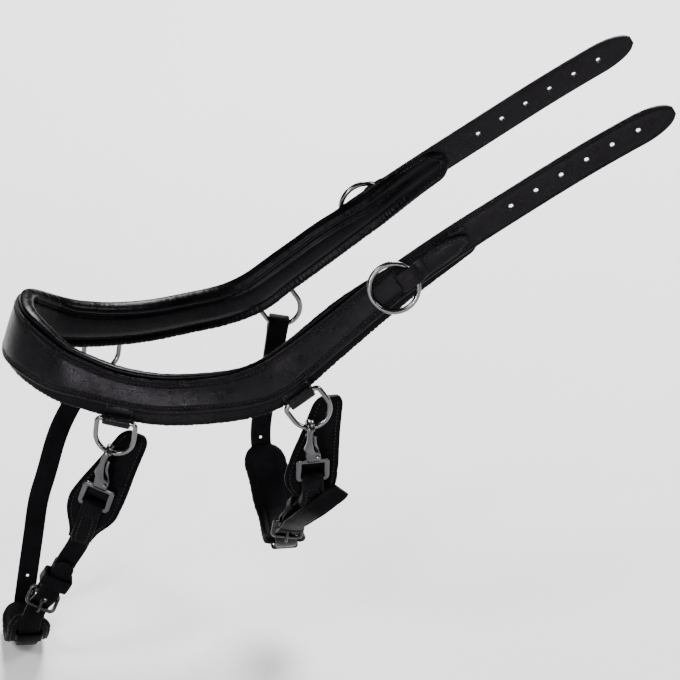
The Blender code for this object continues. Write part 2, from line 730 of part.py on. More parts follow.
def buckle(name, route, spec, mat, pivot):
    heel = spec["buckle"]
    half = (BUCKLE_WIDTH - BUCKLE_WIRE) / 2
    side = [(0.0, half - 2.6), (0.7, half - 0.8), (2.4, half), (BUCKLE_LENGTH / 2, half),
            (BUCKLE_LENGTH - 2.4, half), (BUCKLE_LENGTH - 0.7, half - 0.8),
            (BUCKLE_LENGTH, half - 2.6)]
    path = [(d, a) for d, a in side] + [(d, -a) for d, a in reversed(side)]
    points = []
    for d, a in path:
        share = min(max((d - 1.5) / (BUCKLE_LENGTH - 3.0), 0.0), 1.0)
        rise = BUCKLE_RISE * share * share * (3 - 2 * share)
        points.append(route.at(heel + d, a, -2 * PLY + rise))
    return make_object(name, tube(points, BUCKLE_WIRE / 2, 8, closed=True), mat,
                       pivot.location / MM, pivot)


def tongue(name, route, spec, mat, parent):
    heel = spec["buckle"]
    radius = BUCKLE_WIRE / 2 + GAP + TONGUE_WIRE / 2
    level = -2 * PLY
    line = []
    for k in range(10):
        turn = math.radians(-245 + 245 * k / 9)
        line.append((heel + radius * math.sin(turn), level + radius * math.cos(turn)))
    top = level + BUCKLE_RISE + BUCKLE_WIRE / 2 + GAP + TONGUE_WIRE / 2
    line += [(heel + 4.2, level + radius + 1.0), (heel + BUCKLE_LENGTH, top),
             (heel + BUCKLE_LENGTH + 2.0, top + 0.1)]
    points = [route.at(d, 0, o) for d, o in line]
    wide = route.sides(heel)[0]
    return make_object(name, tube(points, TONGUE_WIRE / 2, 8, flat=wide), mat,
                       route.at(heel, 0, level), parent)


def billet(name, route, spec, mat, pivot):
    """The long strap from its tip, through the buckle and round to the off D ring."""
    heel = spec["buckle"]
    end = route.length
    bend = D_WIRE / 2 + GAP + 1.1 + LOW_LEATHER / 2
    rise = PLY + LOW_LEATHER / 2 + GAP + 0.05
    front = heel + BUCKLE_LENGTH
    line = [(heel - 1, rise), (heel + 1.0, rise), (heel + 3.4, rise - 0.7), (front - 4.5, 0.6),
            (front - 2, -0.75), (front, -1.25), (front + 4, -PLY)]
    line += [(d, -PLY) for d in np.linspace(front + 9, end - 16, round((end - front - 25) / 7))]
    line += [(end - 9, -PLY), (end - 4.5, -PLY - 1.3)] + fold(end, 0, bend, 1)
    line += [(end - 4.5, PLY + 1.3), (end - 9, PLY), (end - 16, PLY), (end - RETURN, PLY)]
    places = on_route(route, line)
    half_widths = [LOW_WIDTH / 2] * len(line)
    if spec["tip_rows"]:
        bow = d_bow(spec["place"])
        free = [places[0][0]] + [bow + row for row in spec["tip_rows"]]
        free = smooth_rows(free, None, 2)
        wide_end = np.array([0.0, -0.76, 0.65])
        wide_start = places[0][1]
        count = len(free) - 1
        extra = []
        for index in range(count, 0, -1):
            share = min(1.0, index / count * 1.5)
            extra.append((free[index], unit(wide_start * (1 - share) + wide_end * share)))
        tip = [LOW_WIDTH / 2 * f for f in (0.8, 0.97)] + [LOW_WIDTH / 2] * (count - 2)
    else:
        top = spec["tip"]
        lead = [(top, PLY), (top + 1.2, PLY), (top + 3.2, PLY), (top + 6, PLY)]
        lead += [(d, PLY) for d in shared_distances(spec, top + 9, heel - 12)]
        lead += [(heel - 6.5, PLY), (heel - 3.2, PLY + 1.0)]
        extra = on_route(route, lead)
        tip = [LOW_WIDTH / 2 * f for f in (0.35, 0.7, 0.94)] + [LOW_WIDTH / 2] * (len(lead) - 3)
    places = extra + places
    obj = make_object(name, strap_sections(places, LOW_LEATHER, tip + half_widths), mat,
                      pivot.location / MM, pivot)
    slot = box_on(route, name + "_tongue_hole", heel + 2.0, front - 2.8, HOLE_LOW / 2, -2.5, 5.2)
    join_or_cut(obj, slot, "DIFFERENCE")
    for distance in spec["holes"]:
        ends = [route.at(distance, 0, o) for o in (-PLY - 4, -PLY + 4)]
        punch = make_object(name + "_hole", tube(ends, HOLE_LOW / 2, 8), None, guide=True)
        join_or_cut(obj, punch, "DIFFERENCE")
    return obj


def chin_pad(name, route, spec, mat, parent, centre):
    start, end = spec["pad"]
    outer = -PLY - LOW_LEATHER / 2 - 1.5 * GAP
    rings = []
    steps = end_steps(13.0)
    places = [start + e for e in steps]
    places += list(np.linspace(start + 19, end - 19, max(3, round((end - start - 38) / 7))))
    places += [end - e for e in reversed(steps)]
    for d in places:
        share = round_end(min(d - start, end - d), 13.0)
        half = CHIN_WIDTH / 2 * (0.35 + 0.65 * share)
        t = CHIN_THICKNESS * (0.45 + 0.55 * share)
        outline = ((1.0, 0.0), (1.06, 0.35), (0.98, 0.75), (0.8, 0.93), (0.64, 0.8), (0.44, 1.0))
        section = [(half / 1.06 * a, outer - t * o) for a, o in outline]
        section += [(-a, o) for a, o in reversed(section)]
        rings.append([route.at(d, a, o) for a, o in section])
    obj = make_object(name, loft(rings), mat, centre, parent)
    half = LOW_WIDTH / 2 + 0.6 + 0.6
    for index, place in enumerate((start + 16, end - 16)):
        shape = band_loop(route, place, half, outer - 1.6, -PLY + LOW_LEATHER / 2 + GAP + 0.6,
                          1.2, 7.0, open_low=True)
        strap = make_object(f"{name}_runner_{index}", shape, None, guide=True)
        join_or_cut(obj, strap, "UNION")
    return obj


class SnapFrame:
    """Places from the D ring's wire: sideways from the eye's middle, up the hook, outward."""

    def __init__(self, route, contact, down):
        self.contact = contact
        self.wide, self.out = route.sides(0)
        self.up = -down

    def at(self, side, up, out):
        return self.contact + self.wide * (side - HOOK_SIDE) + self.up * up + self.out * out


def block(frame, sections):
    """A solid through sections of (up, middle sideways, middle outward, half, half)."""
    corner = 0.75
    turns = ((-1, -corner), (-corner, -1), (corner, -1), (1, -corner), (1, corner), (corner, 1),
             (-corner, 1), (-1, corner))
    rings = []
    for up, side, out, half_side, half_out in sections:
        rings.append([frame.at(side + a * half_side, up, out + b * half_out) for a, b in turns])
    return loft(rings)


def snap_body(name, frame, mat, pivot):
    """The fixed hook, its flat body with a fork for the lever, and the strap's eye."""
    bend = HOOK_RADIUS + HOOK_STOCK / 2
    body = block(frame, (
        (-7.0, HOOK_SIDE, bend, 1.7, 1.3), (-11, HOOK_SIDE, bend - 0.5, 2.2, 1.6),
        (-14.3, HOOK_SIDE + 0.3, bend - 1.8, 3.0, 2.1), (-16.0, HOOK_SIDE - 0.4, 2.0, 2.5, 2.2),
        (-17.4, 1.9, 1.3, 3.1, 2.6), (-19.2, 0.3, 0.3, 4.5, 2.9),
        (-GATE_PIVOT - 2.6, 0.0, 0.3, 4.5, 2.9), (-EYE_TOP, 0, 0, 4.0, 1.7)))
    obj = make_object(name, body, mat, pivot.location / MM, pivot)
    hook = [(-9.0, bend - 0.1), (-5.0, bend)]
    hook += [(-1 + bend * math.sin(t), bend * math.cos(t)) for t in np.linspace(0, math.pi, 9)]
    hook += [(-5.5, -bend)]
    points = [frame.at(HOOK_SIDE, up, out) for up, out in hook]
    widths = [(HOOK_WIDTH / 2, HOOK_STOCK / 2)] * (len(hook) - 1)
    widths += [(HOOK_WIDTH / 2 * 0.7, HOOK_STOCK / 2 * 0.7)]
    shape = tube(points, widths, 8, flat=frame.wide)
    join_or_cut(obj, make_object(name + "_hook", shape, None, guide=True), "UNION")
    rib = [(-1 + (bend - 0.2) * math.sin(t), (bend - 0.2) * math.cos(t))
           for t in np.linspace(-0.3, math.pi - 0.3, 9)]
    points = [frame.at(HOOK_SIDE - 2.1, up, out) for up, out in rib]
    shape = tube(points, [(1.25, 1.0)] * len(points), 6, flat=frame.wide)
    join_or_cut(obj, make_object(name + "_rib", shape, None, guide=True), "UNION")
    half = (EYE_WIDTH - EYE_WIRE) / 2
    cut = 1.5
    corners = ((half, -EYE_BOTTOM, -1, 1), (half, -EYE_TOP, -1, -1), (-half, -EYE_TOP, 1, -1),
               (-half, -EYE_BOTTOM, 1, 1))
    points = []
    for index, (side, up, to_side, to_up) in enumerate(corners):
        ends = [frame.at(side + to_side * cut, up, 0), frame.at(side, up + to_up * cut, 0)]
        points += ends if index % 2 == 0 else ends[::-1]
    shape = tube(points, EYE_WIRE / 2, 8, closed=True, flat=frame.out)
    join_or_cut(obj, make_object(name + "_eye", shape, None, guide=True), "UNION")
    fork = block(frame, ((-14.0, -4.6, 0.0, 3.5, 1.3), (-GATE_PIVOT - 2.1, -4.6, 0.0, 3.5, 1.3)))
    join_or_cut(obj, make_object(name + "_fork", fork, None, guide=True), "DIFFERENCE")
    ends = [frame.at(GATE_SIDE, -GATE_PIVOT, o) for o in (-6, 6)]
    bore = make_object(name + "_bore", tube(ends, RIVET / 2 + 0.15, 10), None, guide=True)
    join_or_cut(obj, bore, "DIFFERENCE")
    return obj


def snap_rivet(name, frame, mat, pivot):
    face = 2.9 + GAP / 2
    line = ((-face - 0.8, 0.8), (-face - 0.5, 1.3), (-face, 1.3), (-face, RIVET / 2),
            (face, RIVET / 2), (face, 1.3), (face + 0.5, 1.3), (face + 0.8, 0.8))
    turns = [math.tau * k / 10 for k in range(10)]
    rings = []
    for out, radius in line:
        rings.append([frame.at(GATE_SIDE + radius * math.cos(a),
                               -GATE_PIVOT + radius * math.sin(a), 0.3 + out) for a in turns])
    return make_object(name, loft(rings), mat, pivot.location / MM, pivot)


def snap_lever(name, frame, mat, parent):
    """The sprung lever that closes the hook from its side."""
    bend = HOOK_RADIUS + HOOK_STOCK / 2
    half = GATE_STOCK / 2
    top = HOOK_SIDE - 3.1
    path = ((GATE_SIDE, -GATE_PIVOT - 1.2, 0.0), (GATE_SIDE, -GATE_PIVOT + 1.4, 0.0),
            (-2.6, -17.8, 0.1), (-2.1, -15.6, 1.0), (-1.3, -13.2, 2.4),
            (-0.4, -10.4, bend - 1.0), (top - 0.1, -7.0, bend), (top, -3.6, bend - 0.2))
    points = [frame.at(*p) for p in path]
    widths = [(1.2, 0.95), (1.3, 0.95), (half, 0.95)] + [(half, 1.0)] * 4 + [(half * 0.9, 0.9)]
    obj = make_object(name, tube(points, widths, 8, flat=frame.wide), mat,
                      frame.at(GATE_SIDE, -GATE_PIVOT, 0), parent)
    nose = [frame.at(*p) for p in ((-0.3, -9.8, bend - 1.2), (-0.3, -9.8, -bend + 1.0),
                                   (0.3, -9.4, -bend), (HOOK_SIDE + 0.9, -8.6, -bend))]
    shape = tube(nose, [(1.0, 0.8)] * 3 + [(0.9, 0.8)], 6, flat=frame.up)
    join_or_cut(obj, make_object(name + "_nose", shape, None, guide=True), "UNION")
    ends = [frame.at(GATE_SIDE, -GATE_PIVOT, o) for o in (-4, 4)]
    bore = make_object(name + "_bore", tube(ends, RIVET / 2 + 0.15, 10), None, guide=True)
    join_or_cut(obj, bore, "DIFFERENCE")
    return obj


def lower_loop(end, spec, leather, lining, steel):
    route, contact, down = lower_route(spec)
    bow = d_bow(spec["place"])
    pivot = make_pivot(end + "_loop", bow * [0, 1, 1])
    frame = SnapFrame(route, contact, down)
    near_strap(end + "_snap_strap", route, spec, leather, pivot)
    guard(end + "_guard", route, spec, leather, pivot)
    billet(end + "_billet", route, spec, leather, pivot)
    buckle(end + "_buckle", route, spec, steel, pivot)
    tongue(end + "_tongue", route, spec, steel, pivot)
    keeper(end + "_keeper", route, spec, leather, pivot)
    chin_pad(end + "_chin_pad", route, spec, lining, pivot, route.centre)
    snap_body(end + "_snap", frame, steel, pivot)
    snap_rivet(end + "_snap_rivet", frame, steel, pivot)
    snap_lever(end + "_snap_lever", frame, steel, pivot)


def main():
    clear_scene()
    leather = material("black_leather", LEATHER, 0.42, 0.0)
    lining = material("soft_black_lining", LINING, 0.5, 0.0)
    steel = material("polished_steel", STEEL, 0.18, 1.0)
    pockets = []
    sides = (("left", 1), ("right", -1))
    for side, sign in sides:
        for end, place in zip(("front", "rear"), D_PLACES):
            d_ring(f"d_ring_{end}_{side}", sign * place, steel)
            _, pocket = d_loop(f"d_loop_{end}_{side}", sign * place, leather)
            pockets.append(pocket)
        round_ring(f"cheek_ring_{side}", sign, steel)
        ring_tab(f"ring_tab_{side}", sign, leather)
    main_strap(leather)
    padding(lining, pockets)
    lower_loop("front", FRONT_STRAP_ROUTE, leather, lining, steel)
    lower_loop("rear", REAR_STRAP_ROUTE, leather, lining, steel)


main()
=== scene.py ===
"""Looks of a padded noseband: black leather, soft gathered lining and polished steel.

Sizes are in millimetres along the leather's routes and become metres when a mesh is made.
"""
import math

import bpy
import numpy as np
from mathutils import Matrix, Vector


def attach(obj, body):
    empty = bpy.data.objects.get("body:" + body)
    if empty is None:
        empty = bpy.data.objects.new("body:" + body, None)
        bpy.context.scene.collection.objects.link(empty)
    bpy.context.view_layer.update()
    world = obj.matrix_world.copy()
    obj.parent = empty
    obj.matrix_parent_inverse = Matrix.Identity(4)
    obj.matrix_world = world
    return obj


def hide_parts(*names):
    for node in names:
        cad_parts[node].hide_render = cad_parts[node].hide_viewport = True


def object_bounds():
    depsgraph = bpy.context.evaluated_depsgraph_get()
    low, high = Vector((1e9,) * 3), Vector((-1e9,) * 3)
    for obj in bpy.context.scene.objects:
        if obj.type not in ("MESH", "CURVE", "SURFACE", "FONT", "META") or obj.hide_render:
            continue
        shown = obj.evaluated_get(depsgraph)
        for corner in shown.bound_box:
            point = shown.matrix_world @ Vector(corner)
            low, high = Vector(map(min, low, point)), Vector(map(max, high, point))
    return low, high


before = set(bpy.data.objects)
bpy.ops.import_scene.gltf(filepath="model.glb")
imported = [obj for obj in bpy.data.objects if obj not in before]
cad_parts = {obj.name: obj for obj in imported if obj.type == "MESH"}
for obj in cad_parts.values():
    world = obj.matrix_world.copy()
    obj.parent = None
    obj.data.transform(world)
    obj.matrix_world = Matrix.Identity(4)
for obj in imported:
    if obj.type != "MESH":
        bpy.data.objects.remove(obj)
cad_low, cad_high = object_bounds()

MM = 0.001
GAP = 0.3                      # between pieces that touch

# The band: a strap sewn on a wider padded lining, mirrored about X = 0
PAD_THICKNESS = 8.0
STRAP_THICKNESS = 3.0
STRAP_CROWN = 0.6
PAD_END = 350.0                # along the band, where the flat backing ends
LINING_END = PAD_END - 9.0     # where the soft lining stops, a little short of it
LINING_TIP = 12.0              # rounded end of the lining
TIP_TAPER = 25.0               # length of leather that narrows to each tip of the strap
ROLL_HEIGHT = 1.5              # of the top roll over the strap's inner face

# Half of the band, from the nose to the tip, on the strap's inner face: x, y, z, the inward lean
# of its top, then the half heights above and below of the padding and of the strap
BAND_ROUTE = (
    (0, -7.6, 2.5, 18, 21.4, 21.8, 17, 17),
    (21.4, -2.8, 0.9, 17.5, 20.2, 20.4, 16, 15.8),
    (39.1, 15.1, -8.6, 17, 17.1, 18.9, 13.9, 13.1),
    (47.5, 34.7, -15.4, 17, 15.7, 17.6, 11.9, 10.3),
    (55.0, 54.2, -20, 17.5, 15, 17, 10.9, 9.1),
    (62.4, 78.9, -22.3, 19.5, 14.8, 17, 10.9, 9.1),
    (67.6, 106, -20.6, 21, 14.5, 17.1, 10.9, 9.1),
    (69.4, 128.2, -17, 21.8, 13.8, 17.8, 11.4, 10.6),
    (69.5, 146.3, -10.2, 22.2, 14, 18.2, 12, 12),
    (68.5, 163, 0.9, 21.4, 13.9, 16.4, 11.7, 11.4),
    (66, 183.2, 15.2, 19.4, 14.6, 15.1, 11.3, 10.2),
    (62.6, 217.3, 40.8, 15, 14.6, 14.4, 11, 9.6),
    (60.6, 254, 65.5, 8, 12.5, 12.7, 10.6, 9.4),
    (60.4, 290, 88.6, 4, 10.5, 10.7, 9.8, 9.8),
    (61.1, 339, 118.1, 4, 10.5, 10.7, 9.8, 9.8),
    (62.6, 390, 146.1, 4, 10.5, 10.7, 9.8, 9.8),
)

# Holes in the strap ends
HOLE_COUNT = 6
HOLE_PITCH = 17.7
HOLE_DIAMETER = 3.8
HOLE_FROM_TIP = 24.5

# D rings in their leather loops under the band
D_WIRE = 3.2
D_WIDTH = 27.4                 # outside
D_DEPTH = 25.5                 # outside
D_CORNER = 3.0
D_PLACES = (94.0, 195.5)       # along the band from the nose: front pair, rear pair
D_LOOP_WIDTH = 17.0
D_LOOP_LEATHER = 1.8
D_LOOP_TAIL = 7.0
D_TAIL_LEATHER = 1.2           # thinned where it is sewn in
D_DROPS = (8.0, 6.4)           # of the bars below the strap's lower edge
BAR_PLAY = 0.35

# Round rings and the stitched tabs that hold them
RING_WIRE = 3.3
RING_DIAMETER = 33.0           # outside
RING_PLACE = 280.0             # of the ring's middle along the band
TAB_WIDTH = 12.0
TAB_LEATHER = 1.5
TAB_LENGTH = 49.0
TAB_SLACK = 10.5               # of the fold inside the ring's wire
RING_LIFT = 1.3                # room for the wire's curve as the ring turns over
TAB_STITCH_IN = 1.7            # of a tab's seam from its edge

# Lower straps: each hangs from a snap on the near D ring and is folded round the off D ring
LOW_WIDTH = 13.0
LOW_LEATHER = 2.4
LOW_CROWN = 0.35
LOW_CREASE = 0.22
BILLET_TIP = 6.5               # rounded tip of the front long strap
LOW_STITCHES = LOW_WIDTH / 2 - 2.9     # of the seams from the middle of a strap
LOW_CROSSING = 3.4             # half the length of a seam across a strap
PLY = (LOW_LEATHER + GAP) / 2  # middle of each of two plies about their shared route
LOW_FACE = PLY + LOW_LEATHER / 2       # outer face of each ply
RETURN = 30.0                  # length of a sewn return under the eye and at the off D ring
CHAPE = 24.0                   # length of the return at the buckle

# Snap: along the hook, sideways and outward of the D ring's wire
HOOK_RADIUS = 3.3              # inside of the hook
HOOK_STOCK = 2.8
HOOK_BEND = HOOK_RADIUS + HOOK_STOCK / 2
HOOK_WIDTH = 3.6
HOOK_SIDE = 3.2                # of the hook from the middle of the eye
EYE_WIRE = 2.8
EYE_WIDTH = 19.5               # outside
EYE_TOP = 25.8                 # below the D ring's wire, to the middle of the eye's top bar
EYE_BOTTOM = 39.0
GATE_PIVOT = 21.6
GATE_SIDE = -2.6
GATE_STOCK = 1.8
RIVET = 1.6

# Guard behind the snap: half widths at distances from the eye's lower bar
GUARD_LEATHER = 2.2
GUARD_TIP = 7.0
GUARD_SHAPE = ((-53, 8.6), (-27, 12.3), (-9, 15.6), (0, 16.7), (6, 16.4), (12, 14.6), (18, 11.4),
               (25, 8.6), (31, 7.2))

KEEPER_LENGTH = 9.0
KEEPER_LEATHER = 1.6
KEEPER_ROOM = 1.2
BUCKLE_WIDTH = 21.0            # outside
BUCKLE_LENGTH = 10.5           # between the middles of its bars
BUCKLE_WIRE = 2.5
BUCKLE_RISE = 4.2              # of the front bar over the heel bar
TONGUE_WIRE = 1.8
HOLE_LOW = 3.0                 # in the lower straps
CHIN_WIDTH = 27.0
CHIN_THICKNESS = 5.5
CHIN_TIP = 13.0                # rounded ends of the pad
U_RADIUS = 42.0                # of the lower straps under the chin

# Faces of the leather
EDGE_ROUND = 0.75
CREASE_IN = 1.8                # of the creased line from the leather's edge
STITCH_IN = 3.3                # of a seam from the leather's edge
BORDER = (1.0, 1.4, 1.8, 2.2, 2.7, 3.3, 3.9, 4.6)

STITCH_LENGTH = 1.8
STITCH_THREAD = 0.85
STITCH_PITCH = 2.5

# Each lower strap: its D place, the snap's slope to the nose and inward; the rows of its route on
# the near side, measured from the near D ring's bow; the middle of the U, measured from the line
# between the bows, and its slope; the rows on the off side, from the off D ring's bow; the places
# of buckle, keeper, tip and holes from the eye; the start and end of the chin pad
FRONT_STRAP_ROUTE = {
    "place": D_PLACES[0], "contact": 22.0, "slope": 20.0, "inward": 6.0, "guard_swing": 0.17,
    "near": ((-12.52, -24.75, -78.69), (-15.02, -32.25, -91.69), (-17.52, -39.25, -105.69),
             (-19.52, -48.25, -117.69)),
    "centre": (0, -54.75, -126.19), "u_slope": 7.0, "u_from": 12, "u_to": 125,
    "far": ((25.02, -56.25, -151.19), (19.52, -52.75, -133.69), (17.52, -49.25, -114.69),
            (16.52, -45.25, -92.69), (15.52, -38.75, -72.69), (13.52, -31.75, -50.69),
            (10.02, -23.75, -34.69)),
    "buckle": 74.5, "keeper": 64.0, "tip": 47.0, "pad": (97.0, 182.0), "holes": (204.0,),
    "tip_rows": (),
}
REAR_STRAP_ROUTE = {
    "place": D_PLACES[1], "contact": 5.0, "slope": 1.0, "inward": 12.0, "guard_swing": 0.23,
    "near": ((-22.65, -0.78, -76.54), (-30.15, -5.28, -85.54), (-36.65, -10.28, -95.54),
             (-42.15, -12.78, -105.54)),
    "centre": (0, -11.78, -86.04), "u_slope": -2.0, "u_from": 48, "u_to": 118,
    "far": ((47.65, -12.78, -115.54), (39.65, -13.58, -107.54), (33.65, -14.98, -99.04),
            (29.15, -17.18, -89.54), (25.15, -18.08, -78.54), (20.15, -15.78, -63.54),
            (14.65, -9.98, -43.54)),
    "buckle": 57.0, "keeper": 39.0, "tip": 0.0, "pad": (89.0, 186.0), "holes": (191.0,),
    "tip_rows": ((-26.65, -8.58, -90.54), (-20.65, -5.28, -85.04), (-14.15, -1.58, -78.54),
                 (-9.65, 2.22, -73.44), (-7.15, 7.42, -68.14), (-6.15, 11.92, -64.14),
                 (-6.15, 19.42, -58.64)),
}


def unit(vector):
    return np.asarray(vector, float) / np.linalg.norm(vector)


def blend(p0, p1, p2, p3, t):
    """A place on the smooth curve from p1 to p2."""
    return 0.5 * (2 * p1 + (p2 - p0) * t + (2 * p0 - 5 * p1 + 4 * p2 - p3) * t ** 2
                  + (3 * p1 - p0 - 3 * p2 + p3) * t ** 3)


def smooth_rows(rows, per_span=4, first=None):
    """Rows of numbers joined by a smooth curve through them, each column alike."""
    rows = np.array(rows, float)
    before = rows[0] * 2 - rows[1] if first is None else np.array(first, float)
    padded = np.vstack([before, rows, rows[-1] * 2 - rows[-2]])
    return np.array([blend(*padded[index:index + 4], step / per_span)
                     for index in range(len(rows) - 1) for step in range(per_span)] + [rows[-1]])


def neighbours(items, index, loop=False):
    """The items before and after one; an open line's ends stand for their own neighbours."""
    if loop:
        return items[index - 1], items[(index + 1) % len(items)]
    return items[max(index - 1, 0)], items[min(index + 1, len(items) - 1)]


class Route:
    """A smooth curve read by the distance along it; straight past both ends."""

    def __init__(self, rows, first=None):
        self.table = smooth_rows(rows, 16, first)
        steps = np.linalg.norm(np.diff(self.table[:, :3], axis=0), axis=1)
        self.along = np.concatenate([[0.0], np.cumsum(steps)])
        self.length = self.along[-1]

    def read(self, distance):
        return np.array([np.interp(distance, self.along, column) for column in self.table.T])

    def row(self, distance):
        inside = min(max(distance, 0.0), self.length)
        row = self.read(inside)
        if distance != inside:
            row[:3] += self.tangent(inside) * (distance - inside)
        return row

    def tangent(self, distance):
        start = min(max(distance - 1.0, 0.0), self.length - 2.0)
        return unit((self.read(start + 2.0) - self.read(start))[:3])


BAND = Route(BAND_ROUTE, (-BAND_ROUTE[1][0],) + BAND_ROUTE[1][1:])


def band_frame(place):
    """Middle, along, up and outward directions of the band; a negative place is the off side."""
    row = BAND.row(abs(place))
    along = BAND.tangent(abs(place))
    if abs(place) < 1.0:
        along = np.array([1.0, 0.0, 0.0])
    level = unit([along[1], -along[0], 0.0])
    up = np.cross(level, along)
    lean = math.radians(row[3])
    out = level * math.cos(lean) + up * math.sin(lean)
    up = up * math.cos(lean) - level * math.sin(lean)
    mirror = np.array([1.0 if place >= 0 else -1.0, 1.0, 1.0])
    return row[:3] * mirror, along * mirror, up * mirror, out * mirror


def band_point(place, across, outward):
    middle, _, up, out = band_frame(place)
    return middle + up * across + out * outward


def band_halves(place):
    return BAND.row(abs(place))[4:8]


def strap_middle(place):
    """Middle across the strap, and its half width."""
    _, _, above, below = band_halves(place)
    return (above - below) / 2, (above + below) / 2


def round_end(to_end, radius):
    """Share of the full width, at a distance from a rounded end."""
    if to_end >= radius:
        return 1.0
    return max(math.sqrt(max(1 - (1 - to_end / radius) ** 2, 0)), 0.22)


def end_steps(radius, count):
    """Distances from a rounded end, closer together at the tip."""
    return [radius * (1 - math.cos(math.pi / 2 * k / count)) for k in range(count + 1)]


def places_between(start, stop, tip, count, after, before, step):
    """Places along a piece with two rounded ends, evenly spaced between them."""
    ends = end_steps(tip, count)
    plain = np.arange(start + tip + after, stop - tip - before, step)
    return [start + e for e in ends] + list(plain) + [stop - e for e in ends[::-1]]


def d_drop(place):
    return D_DROPS[D_PLACES.index(abs(place))]


def d_frame(place):
    """Bar middle, bar direction, and the way that the D ring hangs from it."""
    below = band_halves(place)[3]
    bar_middle = band_point(place, -below - d_drop(place), STRAP_THICKNESS * 0.5 + 1.9)
    along = band_frame(place)[1]
    return bar_middle, along, unit(along * along[2] - np.array([0, 0, 1.0]))


def d_bow(place):
    """Middle of the D ring's round bow."""
    bar_middle, _, hang = d_frame(place)
    return bar_middle + hang * (D_DEPTH - D_WIRE - (D_WIDTH - D_WIRE) / 2)


def d_normal(place):
    """The outward side of a D ring's plane."""
    _, along, hang = d_frame(place)
    return np.cross(hang, along) * (1 if place > 0 else -1)


def arc(centre, first, second, radius, start, end, steps):
    angles = [start + (end - start) * k / steps for k in range(steps + 1)]
    return [centre + first * radius * math.cos(a) + second * radius * math.sin(a) for a in angles]


class LowRoute(Route):
    """The route of a lower strap, with its width and outward directions."""

    def __init__(self, rows, centre, first_out, last_out, flat):
        super().__init__(rows)
        ends = [self.row(d) for d in flat]
        inside = (self.along > flat[0]) & (self.along < flat[1])
        shares = ((self.along[inside] - flat[0]) / (flat[1] - flat[0]))[:, None]
        self.table[inside] = ends[0] * (1 - shares) + ends[1] * shares
        count = int(self.length)
        reach = 5
        even = np.array([self.row(self.length * k / (count - 1)) for k in range(count)])
        even = np.vstack([2 * even[0] - even[reach:0:-1], even,
                          2 * even[-1] - even[-2:-reach - 2:-1]])
        super().__init__([even[k:k + 2 * reach + 1].mean(axis=0) for k in range(count)])
        self.flat = flat
        self.centre = centre
        self.first_out = first_out
        self.last_out = last_out

    def sides(self, distance):
        inside = min(max(distance, 0.0), self.length)
        low, high = self.flat
        middle = (low + high) / 2
        inside = np.interp(inside, (0, low - 10, low, high, high + 10, self.length),
                           (0, low - 10, middle, middle, high + 10, self.length))
        point = self.row(inside)
        along = self.tangent(inside)
        hint = unit([point[0], 0.0, min(point[2] - self.centre[2], 0.0)])
        near = max(0.0, 1 - inside / 45.0)
        far = max(0.0, 1 - (self.length - inside) / 45.0)
        hint = hint * (1 - near - far) + self.first_out * near + self.last_out * far
        out = unit(hint - along * np.dot(hint, along))
        return np.cross(along, out), out

    def at(self, distance, across=0.0, outward=0.0):
        wide, out = self.sides(distance)
        return self.row(distance) + wide * across + out * outward


def lower_route(spec):
    """The route from the snap's eye round under the chin to the off D ring's bow."""
    slope, inward, turn, lean, u_from, u_to = (
        math.radians(spec[key])
        for key in ("slope", "inward", "contact", "u_slope", "u_from", "u_to"))
    down = unit([-math.sin(inward), -math.sin(slope), -math.cos(slope)])
    bow = d_bow(spec["place"])
    reach = (D_WIDTH - D_WIRE) / 2
    normal = d_normal(spec["place"])
    contact = bow + unit(np.cross([0.0, math.cos(turn), -math.sin(turn)], normal)) * reach
    out = unit(normal - down * np.dot(normal, down))
    eye = contact + down * EYE_BOTTOM - np.cross(down, out) * HOOK_SIDE
    centre = bow * [0, 1, 1] + spec["centre"]
    steps = max(2, round((spec["u_to"] - spec["u_from"]) / 24))
    under = arc(centre, np.array([1.0, 0, 0]), np.array([0.0, -math.sin(lean), -math.cos(lean)]),
                U_RADIUS, u_from, u_to, steps)
    far_bow = bow * [-1, 1, 1]
    far_out = d_normal(-spec["place"])
    far = [far_bow + row for row in spec["far"]]
    pull = far[-1] - far_bow
    pull = unit(pull - far_out * np.dot(pull, far_out))
    rows = [eye, eye + down * 13, *(bow + row for row in spec["near"]), *under, *far,
            far_bow + pull * (reach - 1.0)]
    flat = (spec["buckle"] - 5, spec["buckle"] + BUCKLE_LENGTH + 3)
    return LowRoute(rows, centre, normal, far_out, flat), contact, down


# Making pieces

def deselect():
    bpy.ops.object.select_all(action="DESELECT")


def select_only(obj):
    deselect()
    obj.select_set(True)
    bpy.context.view_layer.objects.active = obj


def dress(obj, name, mat, body, slot, *nodes):
    """Names a finished piece, gives it its material and puts it on its body."""
    obj.name = name
    obj.data.name = name
    obj.data.materials.clear()
    obj.data.materials.append(mat)
    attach(obj, body)
    if nodes:
        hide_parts(*nodes)


def smooth_by_angle(angle):
    bpy.ops.object.shade_smooth_by_angle(angle=math.radians(angle))


def face_outward(merge):
    """Turns the faces of the active piece outward, with its seams merged and its ends filled."""
    bpy.ops.object.mode_set(mode="EDIT")
    bpy.ops.mesh.select_all(action="SELECT")
    if merge:
        bpy.ops.mesh.remove_doubles(threshold=0.000002)
        bpy.ops.mesh.fill_holes(sides=0)
        bpy.ops.mesh.select_all(action="SELECT")
    bpy.ops.mesh.normals_make_consistent(inside=False)
    bpy.ops.object.mode_set(mode="OBJECT")


